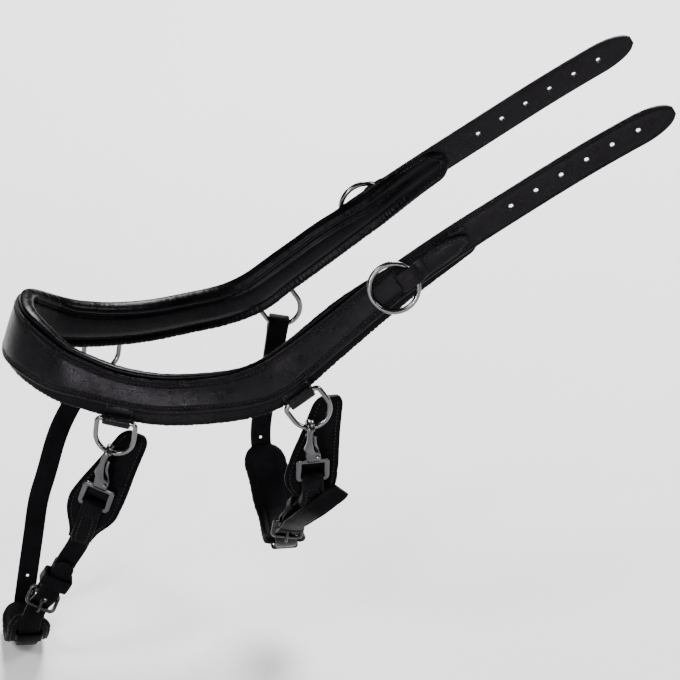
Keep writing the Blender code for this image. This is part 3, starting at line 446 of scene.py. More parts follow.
def skin(rings, loop=False, sharp=35):
    """A grid bent through rings of points, with its seam merged and its open ends filled."""
    rings = np.array(rings, float)
    rings = np.concatenate([rings, rings[:, :1]], axis=1)
    if loop:
        rings = np.concatenate([rings, rings[:1]])
    rows, columns = rings.shape[:2]
    deselect()
    bpy.ops.mesh.primitive_grid_add(x_subdivisions=columns - 1, y_subdivisions=rows - 1, size=1)
    obj = bpy.context.object
    obj.data.vertices.foreach_set("co", (rings * MM).ravel())
    obj.data.update()
    face_outward(True)
    smooth_by_angle(sharp)
    return obj


def wire(points, radius, closed=True):
    """A round rod along points, drawn as a curve and made a mesh."""
    curve = bpy.data.curves.new("wire", "CURVE")
    curve.dimensions = "3D"
    curve.bevel_depth = radius * MM
    curve.bevel_resolution = 4
    curve.use_fill_caps = True
    spline = curve.splines.new("POLY")
    spline.points.add(len(points) - 1)
    for knot, point in zip(spline.points, points):
        knot.co = (*(np.array(point) * MM), 1.0)
    spline.use_cyclic_u = closed
    obj = bpy.data.objects.new("wire", curve)
    bpy.context.collection.objects.link(obj)
    select_only(obj)
    bpy.ops.object.convert(target="MESH")
    smooth_by_angle(50)
    return bpy.context.object


def apply_modifiers(obj):
    select_only(obj)
    for modifier in list(obj.modifiers):
        bpy.ops.object.modifier_apply(modifier=modifier.name)


def cut_with(obj, cutter):
    modifier = obj.modifiers.new("Cut", "BOOLEAN")
    modifier.operation = "DIFFERENCE"
    modifier.solver = "EXACT"
    modifier.object = cutter
    apply_modifiers(obj)
    bpy.data.objects.remove(cutter, do_unlink=True)
    select_only(obj)
    smooth_by_angle(35)


def join(parts):
    """Joins pieces into the last one."""
    select_only(parts[-1])
    for part in parts:
        part.select_set(True)
    if len(parts) > 1:
        bpy.ops.object.join()
    return parts[-1]


def punch(obj, holes):
    """Cuts holes with pressed-in mouths: (place on the face, outward, radius) in millimetres."""
    for mouth in (True, False):
        deselect()
        cutters = []
        for face, outward, radius in holes:
            where = {"vertices": 24, "location": Vector(face) * MM,
                     "rotation": Vector(outward).to_track_quat("Z", "Y").to_euler()}
            if mouth:
                bpy.ops.mesh.primitive_cone_add(radius1=radius * 0.9 * MM, depth=1.4 * MM,
                                                radius2=(radius + 1.2) * MM, **where)
            else:
                bpy.ops.mesh.primitive_cylinder_add(radius=radius * MM, depth=24 * MM, **where)
            cutters.append(bpy.context.object)
        cut_with(obj, join(cutters))


def strap_outline(below, above, inner, outer, crown=0.0, crease=0.0, groove=0.0):
    """Across and outward places round a strap: round edges, creased borders, a crowned middle."""
    half = (above + below) / 2
    middle = (above - below) / 2
    edge = min(EDGE_ROUND, (outer - inner) * 0.45, half * 0.4)
    fit = min(1.0, half / 6.0)

    def corner(across, level, start):
        turns = [start + math.pi / 6 * k for k in range(4)]
        return [(across + edge * math.cos(t), level + edge * math.sin(t)) for t in turns]

    def face(across):
        rest = half - abs(across - middle)
        line = crease * max(0.0, 1 - abs(rest - CREASE_IN * fit) / (0.5 * fit))
        line += groove * max(0.0, 1 - abs(rest - STITCH_IN * fit) / (0.9 * fit))
        return (across, outer + crown * (1 - ((across - middle) / half) ** 2) - line)

    points = corner(-below + edge, inner + edge, math.pi)
    points += [(middle + half * 0.5 * s, inner) for s in (-1, 0, 1)]
    points += corner(above - edge, inner + edge, -math.pi / 2)
    points += corner(above - edge, outer - edge, 0.0)
    points += [face(above - rest * fit) for rest in BORDER]
    points += [face(middle + half * share) for share in (0.5, 0.28, 0.0, -0.28, -0.5)]
    points += [face(-below + rest * fit) for rest in reversed(BORDER)]
    return points + corner(-below + edge, outer - edge, math.pi / 2)


def leather_section(half, leather, crown, crease, groove=0.0):
    return strap_outline(half, half, -leather / 2, leather / 2, crown, crease, groove)


def rounded_path(half, low, high, radius, steps, between):
    """A closed path of (across, level) places, with four round corners and places between."""
    corners = []
    for quarter, (side, level) in enumerate(((1, high), (-1, high), (-1, low), (1, low))):
        across = side * (half - radius)
        level += radius if level == low else -radius
        turns = [math.pi / 2 * quarter + math.pi / 2 * k / steps for k in range(steps + 1)]
        corners.append([(across + radius * math.cos(t), level + radius * math.sin(t))
                        for t in turns])
    path = []
    for corner, following, shares in zip(corners, corners[1:] + corners[:1], between):
        straight = np.subtract(following[0], corner[-1])
        path += corner + [tuple(corner[-1] + straight * share) for share in shares]
    return path


def wave(place, seed, wavelength):
    """A smooth, seeded, uneven wave between -1 and 1."""
    x = place / wavelength
    return sum(share * math.sin(math.tau * (x * stretch + seed * (0.37 + 0.21 * k)))
               for k, (stretch, share) in enumerate(((1.0, 0.5), (1.73, 0.3), (2.91, 0.2))))


def ease(value):
    value = min(1.0, max(0.0, value))
    return value * value * (3 - 2 * value)


# Materials

class Finish:
    """A material whose textures follow the piece's own coordinates."""

    def __init__(self, name):
        self.material = bpy.data.materials.new(name)
        self.material.use_nodes = True
        self.nodes = self.material.node_tree.nodes
        self.links = self.material.node_tree.links
        self.shader = self.nodes["Principled BSDF"]
        self.where = self.nodes.new("ShaderNodeTexCoord").outputs["Object"]

    def texture(self, kind, **settings):
        node = self.nodes.new("ShaderNodeTex" + kind)
        if kind == "Noise":
            settings["Lacunarity"] = 2.23      # keeps the finer grain off the coarse grain's grid
        for key, value in settings.items():
            if key in node.inputs:
                node.inputs[key].default_value = value
            else:
                setattr(node, key, value)
        self.links.new(self.where, node.inputs["Vector"])
        return node.outputs["Distance" if kind == "Voronoi" else "Fac"]

    def colour(self, value, *stops):
        node = self.nodes.new("ShaderNodeValToRGB")
        self.links.new(value, node.inputs["Fac"])
        for element, (place, colour) in zip(node.color_ramp.elements, stops):
            element.position = place
            element.color = (*colour, 1.0)
        self.links.new(node.outputs["Color"], self.shader.inputs["Base Color"])

    def to_range(self, value, low, high, from_low, from_high):
        node = self.nodes.new("ShaderNodeMapRange")
        for key, level in (("From Min", from_low), ("From Max", from_high), ("To Min", low),
                           ("To Max", high)):
            node.inputs[key].default_value = level
        self.links.new(value, node.inputs["Value"])
        return node.outputs["Result"]

    def roughness(self, value, low, high):
        self.links.new(self.to_range(value, low, high, 0.3, 0.7), self.shader.inputs["Roughness"])

    def bumps(self, *layers):
        """Chained bump layers: (height, strength, depth in metres)."""
        normal = None
        for height, strength, depth in layers:
            node = self.nodes.new("ShaderNodeBump")
            node.inputs["Strength"].default_value = strength
            node.inputs["Distance"].default_value = depth
            self.links.new(height, node.inputs["Height"])
            if normal is not None:
                self.links.new(normal, node.inputs["Normal"])
            normal = node.outputs["Normal"]
        self.links.new(normal, self.shader.inputs["Normal"])


def leather_finish(name, rough, grain, pebble, wrinkle, sheen):
    """Dyed leather: pores, pebbled grain, faint creases and a waxed, uneven sheen."""
    finish = Finish(name)
    cells = finish.texture("Voronoi", Scale=grain, feature="DISTANCE_TO_EDGE")
    pores = finish.texture("Noise", Scale=grain * 2.6, Detail=4.0)
    broad = finish.texture("Noise", Scale=42.0, Detail=5.0, Roughness=0.6)
    creases = finish.texture("Noise", Scale=160.0, Detail=6.0, Distortion=1.4)
    finish.colour(broad, (0.3, BLACK), (0.75, WORN))
    finish.roughness(broad, *rough)
    pebbles = finish.to_range(cells, 0.0, 1.0, 0.0, 0.12)
    finish.bumps((creases, wrinkle, 0.0004), (pebbles, pebble, 0.0001), (pores, 0.25, 0.00005))
    finish.shader.inputs["Specular IOR Level"].default_value = sheen
    finish.shader.inputs["Specular Tint"].default_value = (0.96, 0.88, 1.0, 1.0)
    return finish.material


def steel_finish(name, colour, rough, scratches):
    """Metal with fine rubbed scratches and a slightly uneven polish."""
    finish = Finish(name)
    cloud = finish.texture("Noise", Scale=130.0, Detail=4.0)
    stretch = finish.nodes.new("ShaderNodeMapping")
    stretch.inputs["Scale"].default_value = (300.0, 2600.0, 700.0)
    stretch.inputs["Rotation"].default_value = (0.4, 0.7, 0.2)
    finish.links.new(finish.where, stretch.inputs["Vector"])
    finish.where = stretch.outputs["Vector"]
    lines = finish.texture("Noise", Scale=1.0, Detail=3.0)
    finish.colour(cloud, (0.35, tuple(c * 0.82 for c in colour)), (0.65, colour))
    finish.roughness(cloud, *rough)
    finish.bumps((lines, scratches, 0.00002), (cloud, 0.08, 0.0002))
    finish.shader.inputs["Metallic"].default_value = 1.0
    return finish.material


def thread_finish(name, dark, light, sheen):
    """Waxed thread with its twist."""
    finish = Finish(name)
    twist = finish.texture("Wave", Scale=900.0, Distortion=1.0)
    finish.colour(finish.texture("Noise", Scale=220.0), (0.3, dark), (0.7, light))
    finish.bumps((twist, 0.5, 0.0001))
    finish.shader.inputs["Roughness"].default_value = 0.3
    finish.shader.inputs["Specular IOR Level"].default_value = sheen
    return finish.material


BLACK = (0.0008, 0.0007, 0.0009)
WORN = (0.003, 0.0028, 0.0033)
LEATHER = leather_finish("bridle_leather", (0.22, 0.36), 900.0, 0.9, 0.3, 0.1)
LINING = leather_finish("lining_leather", (0.2, 0.34), 900.0, 0.25, 0.22, 0.05)
CUSHION = leather_finish("cushion_leather", (0.5, 0.66), 900.0, 0.2, 0.25, 0.03)
LOWER = leather_finish("strap_leather", (0.3, 0.44), 1150.0, 0.4, 0.24, 0.022)
STEEL = steel_finish("polished_steel", (0.125, 0.123, 0.126), (0.15, 0.28), 0.16)
SATIN_STEEL = steel_finish("satin_steel", (0.075, 0.072, 0.077), (0.24, 0.36), 0.2)
# Darker steel, used for the buckle's frame and its tongue
DARK_STEEL = steel_finish("dark_steel", (0.035, 0.034, 0.036), (0.2, 0.34), 0.1)
THREAD = thread_finish("waxed_thread", (0.0012, 0.0012, 0.0014), (0.004, 0.0038, 0.0042), 0.16)


# Stitches

def stitch_pattern():
    """One stitch, as a short rounded thread along X, that every seam repeats."""
    deselect()
    bpy.ops.mesh.primitive_uv_sphere_add(segments=8, ring_count=5, radius=1.0)
    obj = bpy.context.object
    verts = np.array([v.co for v in obj.data.vertices])
    faces = [tuple(f.vertices) for f in obj.data.polygons]
    bpy.data.objects.remove(obj, do_unlink=True)
    return verts[:, [2, 0, 1]], faces


STITCH = stitch_pattern()


def seam(name, lines, body, slot="black_leather"):
    """Stitches along lines; each line gives a point and a normal at a distance."""
    verts, faces = STITCH
    all_verts, all_faces = [], []
    count = 0
    for at, start, end in lines:
        number = max(2, round(abs(end - start) / STITCH_PITCH))
        step = 0.4 if end > start else -0.4
        for k in range(number):
            d = start + (end - start) * (k + 0.5) / number
            point, normal = at(d)
            along = unit(np.subtract(at(d + step)[0], at(d - step)[0]))
            normal = unit(np.array(normal) - along * np.dot(normal, along))
            along = unit(along + np.cross(normal, along) * 0.07 * wave(count, 0.3, 5.3))
            side = np.cross(normal, along)
            size = STITCH_LENGTH / 2 * (1 + 0.05 * wave(count, 0.7, 3.1))
            shape = (verts[:, :1] * size * along + verts[:, 1:2] * STITCH_THREAD / 2 * side
                     + verts[:, 2:] * STITCH_THREAD * 0.42 * normal)
            all_faces += [tuple(i + count * len(verts) for i in face) for face in faces]
            all_verts.append((shape + point + normal * 0.05) * MM)
            count += 1
    mesh = bpy.data.meshes.new(name)
    mesh.from_pydata(np.concatenate(all_verts).tolist(), [], all_faces)
    obj = bpy.data.objects.new(name, mesh)
    bpy.context.collection.objects.link(obj)
    select_only(obj)
    face_outward(False)
    bpy.ops.object.shade_smooth()
    dress(obj, name, THREAD, body, slot)


def both_edges(row, start, stop):
    """A row of stitches along each edge."""
    return [(row(1), start, stop), (row(-1), start, stop)]


def sewn_return(name, route, body, start, stop, crossings):
    """The seam of a folded-back end: along both edges and across it."""
    face = LOW_FACE + 0.1

    def row(side):
        return lambda d: (route.at(d, side * LOW_STITCHES, face), route.sides(d)[1])

    def across(distance):
        return lambda a: (route.at(distance, a, face), route.sides(distance)[1])

    seam(name, both_edges(row, start, stop)
         + [(across(d), -LOW_CROSSING, LOW_CROSSING) for d in crossings], body)


# The band

def band_strap():
    rings = []
    for place in places_between(-BAND.length, BAND.length, TIP_TAPER, 16, 2.0, 1.5, 2.5):
        middle, half = strap_middle(place)
        half *= round_end(BAND.length - abs(place), TIP_TAPER) ** 0.85
        sewn = min(1.0, max(0.0, LINING_END - 2 - abs(place)) / 4)
        outline = strap_outline(half - middle, half + middle, 0, STRAP_THICKNESS, STRAP_CROWN,
                                0.4, 0.5 * sewn)
        rings.append([band_point(place, a, o) for a, o in outline])
    obj = skin(rings)
    places = [side * (BAND.length - HOLE_FROM_TIP - HOLE_PITCH * index)
              for side in (1, -1) for index in range(HOLE_COUNT)]
    punch(obj, [(band_point(place, 0, STRAP_THICKNESS + STRAP_CROWN), band_frame(place)[3],
                 HOLE_DIAMETER / 2 - 0.4) for place in places])
    dress(obj, "band_strap", LEATHER, "band", "black_leather", "main_strap")

    def row(edge):
        def at(place):
            middle, half = strap_middle(place)
            across = middle + edge * (half - STITCH_IN)
            crown = STRAP_CROWN * (1 - ((across - middle) / half) ** 2)
            return band_point(place, across, STRAP_THICKNESS + crown), band_frame(place)[3]
        return at

    seam("band_stitches", both_edges(row, -LINING_END + 4, LINING_END - 4), "band")


def pad_outline(place):
    """Section of the padding: top roll, groove, crowned pad and gathered lower roll."""
    up, down, above, below = band_halves(place)
    to_end = LINING_END - abs(place)
    thin = 0.3 + 0.7 * ease((to_end - 16) / 46.0)
    up -= (up - above + 1.1) * ease((abs(place) - 236) / 60.0)
    roll = min(1.0, max(0.0, (to_end - 14) / 30.0)) * min(1.0, max(0.0, (up - above) / 2.5))
    share = round_end(to_end, LINING_TIP)
    t = PAD_THICKNESS * thin
    margin = max(up - above, 0.3)
    lip = -GAP - 0.2 + roll * (ROLL_HEIGHT + GAP)
    turn = math.pi * (place + 1.6 * wave(place, 0.2, 29)) / 3.1
    gather = -max(0.0, 1 - abs(math.sin(turn)) * 1.7) * (0.42 + 0.28 * wave(place, 0.6, 17))
    swell = 0.12 * wave(place, 0.4, 11)
    low = (gather + swell) * thin
    high = (gather * 0.05 + swell) * thin
    soft = swell * 0.2 * thin
    points = [
        (-down - low, -0.42 * t), (-down + 1.0 - low * 0.5, -0.2 * t - 0.2 + low * 0.2),
        (-below - 0.9, -0.75), (-below + 0.5, -GAP), (up - margin - 0.5, -GAP),
        (up - 0.9 * margin + GAP, lip - 0.35 * roll),
        (up - 0.45 * margin + 0.25, lip + high * 0.4),
        (up - 0.12 * margin, lip - 0.9 * roll - 0.1), (up + high, -0.38 * t),
        (up - 0.9 + high, -0.78 * t), (up - 3.4, -0.97 * t - high), (up - 6.8, -0.66 * t),
        (up - 9.8, -0.95 * t - soft), (-down + 10.2, -0.95 * t - soft), (-down + 7.4, -0.62 * t),
        (-down + 3.6, -1.0 * t - low), (-down + 0.7 - low * 0.8, -0.76 * t - low * 0.3),
    ]
    return np.array([(a * share, o) for a, o in points])


def closed_curve(points, per_span):
    """A closed smooth line through points, with the sharp seat under the strap kept straight."""
    out = []
    for k in range(len(points)):
        p0, p1, p2, p3 = (points[(k + i) % len(points)] for i in (-1, 0, 1, 2))
        shares = [step / per_span for step in range(per_span)]
        out += [p1 + (p2 - p1) * t if k in (2, 3, 4) else blend(p0, p1, p2, p3, t)
                for t in shares]
    return out


def band_lining():
    rings = []
    for place in places_between(-LINING_END, LINING_END, LINING_TIP, 9, 0.7, 0.4, 0.62):
        outline = closed_curve(pad_outline(place), 3)
        rings.append([band_point(place, a, o) for a, o in outline])
    obj = skin(rings, sharp=80)
    dress(obj, "band_lining", LINING, "band", "soft_lining", "padding")

    def inner(side):
        def at(place):
            up, down, _, _ = band_halves(place)
            half = up - 0.5 if side > 0 else -down
            across = half * 0.72 * ease((LINING_END - 2.6 - abs(place)) / 9.0)
            return band_point(place, across, -0.3 * PAD_THICKNESS), -band_frame(place)[3]
        return at

    rows = [(inner(side), sign * (LINING_END - 2.8), sign * (LINING_END - 30))
            for sign in (1, -1) for side in (1, -1)]
    seam("lining_end_stitches", rows, "band", "soft_lining")


def d_rings(end, side, place):
    bar_middle, along, hang = d_frame(place)
    half = (D_WIDTH - D_WIRE) / 2
    straight = D_DEPTH - D_WIRE - half
    reach = half - D_CORNER
    points = [bar_middle + along * u for u in np.linspace(-reach, reach, 12)]
    corner = bar_middle + along * reach + hang * D_CORNER
    points += arc(corner, along, -hang, D_CORNER, math.pi / 2, 0, 7)[1:]
    points += arc(bar_middle + hang * straight, along, hang, half, 0, math.pi, 40)
    corner = bar_middle - along * reach + hang * D_CORNER
    points += arc(corner, -along, -hang, D_CORNER, 0, math.pi / 2, 7)[:-1]
    node = f"d_ring_{end}_{side}"
    dress(wire(points, D_WIRE / 2), f"d_wire_{end}_{side}", STEEL, node, "polished_steel", node)


def path_normal(path, index, loop=False):
    """The side of a flat path that faces away from its turns."""
    run = unit(np.subtract(*reversed(neighbours(path, index, loop))))
    return np.array([run[1], -run[0]])


def d_leather(end, side, place):
    """The strap of a D ring, rolled round its bar, with both ends sewn in under the band."""
    middle, along, up, out = band_frame(place)
    bar_middle = d_frame(place)[0]
    level = np.dot(bar_middle - middle, out)
    drop = d_drop(place)
    tail = -2 * GAP - level - 0.6
    across = -band_halves(place)[3] - drop
    radius = D_WIRE / 2 + BAR_PLAY + D_LOOP_LEATHER / 2
    line = [(drop + D_LOOP_TAIL, tail), (drop + D_LOOP_TAIL * 0.6, tail), (drop, tail),
            (drop * 0.5, tail)]
    flat = len(line)
    line += [(radius * math.sin(t), radius * math.cos(t))
             for t in np.radians(np.linspace(-158, 152, 26))]
    rings = []
    for k, (a, o) in enumerate(line):
        normal = path_normal(line, k)
        thick = D_TAIL_LEATHER + (D_LOOP_LEATHER - D_TAIL_LEATHER) * min(1.0, max(0, k - 3) / 5)
        ring = []
        for u, s in leather_section(D_LOOP_WIDTH / 2, thick, 0.15, 0.15):
            if k < flat:
                ring.append(band_point(place + u * np.sign(place), across + a + s * normal[0],
                                       level + o + s * normal[1]))
            else:
                ring.append(bar_middle + along * u + up * (a + s * normal[0])
                            + out * (o + s * normal[1]))
        rings.append(ring)
    dress(skin(rings), f"d_leather_{end}_{side}", LEATHER, "band", "black_leather",
          f"d_loop_{end}_{side}")


def cheek_ring(side, sign):
    """A round ring, lying from the strap's face to the fold of its tab."""
    middle, along, up, out = band_frame(sign * RING_PLACE)
    radius = (RING_DIAMETER - RING_WIRE) / 2
    low = STRAP_THICKNESS + STRAP_CROWN + GAP + RING_WIRE / 2
    rest = middle + out * low - along * radius
    turn = band_point(sign * (RING_PLACE + radius), 0, low + TAB_LEATHER + GAP)
    normal = Vector(np.cross(unit(turn - rest), up))
    deselect()
    bpy.ops.mesh.primitive_torus_add(major_segments=80, minor_segments=22,
                                     major_radius=radius * MM, minor_radius=RING_WIRE / 2 * MM,
                                     location=Vector((turn + rest) / 2) * MM,
                                     rotation=normal.to_track_quat("Z", "Y").to_euler())
    obj = bpy.context.object
    bpy.ops.object.transform_apply(location=True, rotation=True, scale=True)
    bpy.ops.object.shade_smooth()
    node = f"cheek_ring_{side}"
    dress(obj, f"ring_{side}", STEEL, node, "polished_steel", node)


def ring_tab(side, sign):
    """The stitched tab of a round ring: flat on the strap, folded round the wire and back."""
    ring = RING_PLACE + (RING_DIAMETER - RING_WIRE) / 2
    fold_place = ring - TAB_SLACK
    tail = fold_place + TAB_LENGTH
    base = STRAP_THICKNESS + STRAP_CROWN + GAP + TAB_LEATHER / 2
    high = base + RING_WIRE + 2 * GAP + RING_LIFT + TAB_LEATHER
    bend = (high - base) / 2
    top = base + TAB_LEATHER + GAP
    line = [(p, base) for p in np.linspace(tail, fold_place + bend, 16)]
    line += [(fold_place + bend - bend * math.sin(math.pi * k / 12),
              base + bend - bend * math.cos(math.pi * k / 12)) for k in range(1, 12)]
    line += fine([(fold_place + bend, high), (ring, high), (ring + 3.5, high - 1.0),
                  (ring + 7.5, top + 0.7), (ring + 11, top), (ring + 16, top)])
    line += [(p, top) for p in np.linspace(ring + 18, tail, 14)]

    def tab_half(place):
        return TAB_WIDTH / 2 * (0.34 + 0.66 * min(1.0, (tail - place) / 11.0) ** 0.8)

    rings = []
    for index, (place, level) in enumerate(line):
        before, after = (band_point(sign * p, 0, o) for p, o in neighbours(line, index))
        up = band_frame(sign * place)[2]
        point = band_point(sign * place, 0, level)
        normal = unit(np.cross(after - before, up)) * sign
        crown = 0.3 * min(1.0, max(0.0, index - 18) / 10)
        rings.append([point + up * p + normal * q for p, q in
                      leather_section(tab_half(place), TAB_LEATHER, crown, 0.15, 0.1)])
    dress(skin(rings), f"tab_{side}", LEATHER, "band", "black_leather", f"ring_tab_{side}")
    face = top + TAB_LEATHER / 2 + 0.15

    def row(edge):
        return lambda d: (band_point(sign * d, edge * (tab_half(d) - TAB_STITCH_IN), face),
                          band_frame(sign * d)[3])

    def across(place):
        return lambda d: (band_point(sign * place, d, face), band_frame(sign * place)[3])

    reach = TAB_WIDTH / 2 - TAB_STITCH_IN
    seam(f"tab_stitches_{side}", both_edges(row, ring + 10, tail - 3)
         + [(across(ring + 9.5), -reach, reach),
            (across(tail - 2.2), -reach * 0.3, reach * 0.3)], "band")


# The lower straps

def ply(places, leather, half_widths, flat_from=10000):
    """A strap of leather through (point, width direction) places, flat where it is folded."""
    rings = []
    for index, ((point, wide), half) in enumerate(zip(places, half_widths)):
        crown = LOW_CROWN * min(1.0, max(0.0, (flat_from - index) / 6))
        before, after = neighbours(places, index)
        normal = unit(np.cross(wide, after[0] - before[0]))
        rings.append([point + wide * p + normal * q
                      for p, q in leather_section(half, leather, crown, LOW_CREASE)])
    return skin(rings)


def on_route(route, line):
    return [(route.at(d, 0, o), route.sides(d)[0]) for d, o in line]


def fine(line):
    return [tuple(row) for row in smooth_rows(line)]


def fold(distance, level, radius, heading):
    turns = [math.pi * k / 6 for k in range(7)]
    return [(distance + heading * radius * math.sin(t), level - radius * math.cos(t))
            for t in turns]


def shared_distances(spec, start, end):
    """Places that both plies share, at one spacing back from the buckle."""
    places = [spec["buckle"] - 12 - 5.5 * k for k in range(20, -1, -1)]
    return [place for place in places if start <= place <= end]


def route_slot(route, distance, length, half, low, high):
    """A cutter for the tongue's slot, as a box bent to the strap."""
    corners = ((-half, low), (half, low), (half, high), (-half, high))
    return skin([[route.at(distance + d, a, o) for a, o in corners]
                 for d in np.linspace(0, length, 4)])


def snap_strap(end, route, spec):
    """The near strap: from its end at the keeper round the snap's eye and the buckle's bar."""
    heel = spec["buckle"]
    eye_bend = EYE_WIRE / 2 + GAP + LOW_LEATHER / 2
    heel_bend = BUCKLE_WIRE / 2 + GAP + LOW_LEATHER / 2
    level = -2 * PLY
    line = [(heel - d, level - PLY) for d in (CHAPE, 18, 12, 6.5)]
    line += [(heel - 3.2, level - PLY - 0.9)] + fold(heel, level, heel_bend, 1)
    line += [(heel - 3.2, -PLY + 0.9), (heel - 6.5, -PLY)]
    line += [(d, -PLY) for d in reversed(shared_distances(spec, 7.0, heel - 12))]
    line += [(3.4, -PLY - 0.9)] + fold(0, 0, eye_bend, -1) + [(3.4, PLY + 0.9), (7.0, PLY)]
    tail = min(RETURN, spec["keeper"] - KEEPER_LENGTH / 2 - 4)
    line = fine(line + [(d, PLY) for d in shared_distances(spec, 10.0, tail)])
    widths = [LOW_WIDTH / 2 * (0.8 + 0.2 * min(1.0, left / 4))
              for left in range(len(line) - 1, -1, -1)]
    obj = ply(on_route(route, line), LOW_LEATHER, widths)
    cut_with(obj, route_slot(route, heel - 5, 11, TONGUE_WIRE / 2 + 0.5, -9, 2.4))
    dress(obj, f"{end}_near_leather", LOWER, f"{end}_loop", "black_leather",
          f"{end}_snap_strap")
    last = line[-1][0]
    sewn_return(f"{end}_near_stitches", route, f"{end}_loop", 7.5, last - 2.5, (6.8, last - 2.0))


def guard_half(d):
    places, halves = np.array(GUARD_SHAPE).T
    half = sum(np.interp(d + s, places, halves) for s in (0, -4, -2, 2, 4)) / 5
    if d < places[0] + GUARD_TIP:
        half *= 0.45 + 0.55 * round_end(d - places[0], GUARD_TIP)
    return half


def guard(end, route, spec):
    """The shaped leather behind the snap."""
    first, last = GUARD_SHAPE[0][0], GUARD_SHAPE[-1][0]
    near = -LOW_FACE - GAP - GUARD_LEATHER / 2
    at_eye = -EYE_WIRE / 2 - LOW_LEATHER - 2 * GAP - GUARD_LEATHER / 2
    at_hook = -HOOK_BEND - HOOK_STOCK / 2 - 2 * GAP - GUARD_LEATHER / 2
    levels = np.array(((first, at_hook - 0.4), (-14, at_hook), (-4, at_eye), (7.5, at_eye),
                       (15, near - GAP / 2), (last, near - GAP / 2)))

    def place_on(d, across, outward):
        level = np.mean([np.interp(d + s, *levels.T) for s in (-2, 0, 2)]) - 0.1
        return route.at(d, across + spec["guard_swing"] * min(d, 0.0), level + outward)

    places = [first + e for e in end_steps(GUARD_TIP, 8)]
    places += list(np.arange(first + 8.5, last, 1.6)) + [last]
    obj = skin([[place_on(d, a, o)
                 for a, o in leather_section(guard_half(d), GUARD_LEATHER, 0.35, 0.25)]
                for d in places])
    dress(obj, f"{end}_safe", LOWER, f"{end}_loop", "black_leather", f"{end}_guard")

    def row(side):
        return lambda d: (place_on(d, side * (guard_half(d) - STITCH_IN), GUARD_LEATHER / 2 + 0.15),
                          route.sides(d)[1])

    seam(f"{end}_safe_stitches", both_edges(row, first + 3.5, last - 3), f"{end}_loop")


def leather_band(route, distance, path, leather, length, closed):
    """A narrow leather band round a strap, along a path of (across, outward) places."""
    rings = []
    for index, (a, o) in enumerate(path):
        side = path_normal(path, index, closed)
        rings.append([route.at(distance + d, a + s * side[0], o + s * side[1])
                      for d, s in leather_section(length / 2, leather, 0.1, 0.12)])
    return skin(rings, loop=closed)


def keeper(end, route, spec):
    top = LOW_FACE - 2 * PLY if spec["tip_rows"] else LOW_FACE
    low = -2 * PLY - LOW_FACE - GAP - KEEPER_LEATHER / 2 - 0.2
    high = 0.2 + top + GAP + KEEPER_LEATHER / 2
    half = LOW_WIDTH / 2 + KEEPER_ROOM + KEEPER_LEATHER / 2 + 0.1
    path = rounded_path(half, low, high, 1.6, 4, [(0.33, 0.67)] * 4)
    obj = leather_band(route, spec["keeper"], path, KEEPER_LEATHER, KEEPER_LENGTH, True)
    node = f"{end}_keeper"
    dress(obj, f"{end}_keeper_leather", LOWER, node, "black_leather", node)


def buckle(end, route, spec):
    """The buckle's frame, from its heel bar up to the raised front bar."""
    path = rounded_path((BUCKLE_WIDTH - BUCKLE_WIRE) / 2, 0, BUCKLE_LENGTH, 2.6, 7, [()] * 4)
    points = [route.at(spec["buckle"] + d, a,
                       -2 * PLY + BUCKLE_RISE * ease((d - 1.5) / (BUCKLE_LENGTH - 3.0)))
              for a, d in path[-8:] + path[:-8]]
    dress(wire(points, BUCKLE_WIRE / 2), f"{end}_buckle_frame", DARK_STEEL, f"{end}_loop",
          "polished_steel", f"{end}_buckle")


def tongue(end, route, spec):
    heel = spec["buckle"]
    radius = BUCKLE_WIRE / 2 + GAP + TONGUE_WIRE / 2
    level = -2 * PLY
    top = level + BUCKLE_RISE + radius
    line = [(heel + radius * math.sin(t), level + radius * math.cos(t))
            for t in [math.radians(-245 + 245 * k / 24) for k in range(25)]]
    line += fine([(heel + 2.0, level + radius + 0.4), (heel + 4.2, level + radius + 1.0),
                  (heel + BUCKLE_LENGTH, top), (heel + BUCKLE_LENGTH + 2.0, top + 0.1)])
    obj = wire([route.at(d, 0, o) for d, o in line], TONGUE_WIRE / 2, closed=False)
    node = f"{end}_tongue"
    dress(obj, f"{end}_tongue_rod", DARK_STEEL, node, "polished_steel", node)


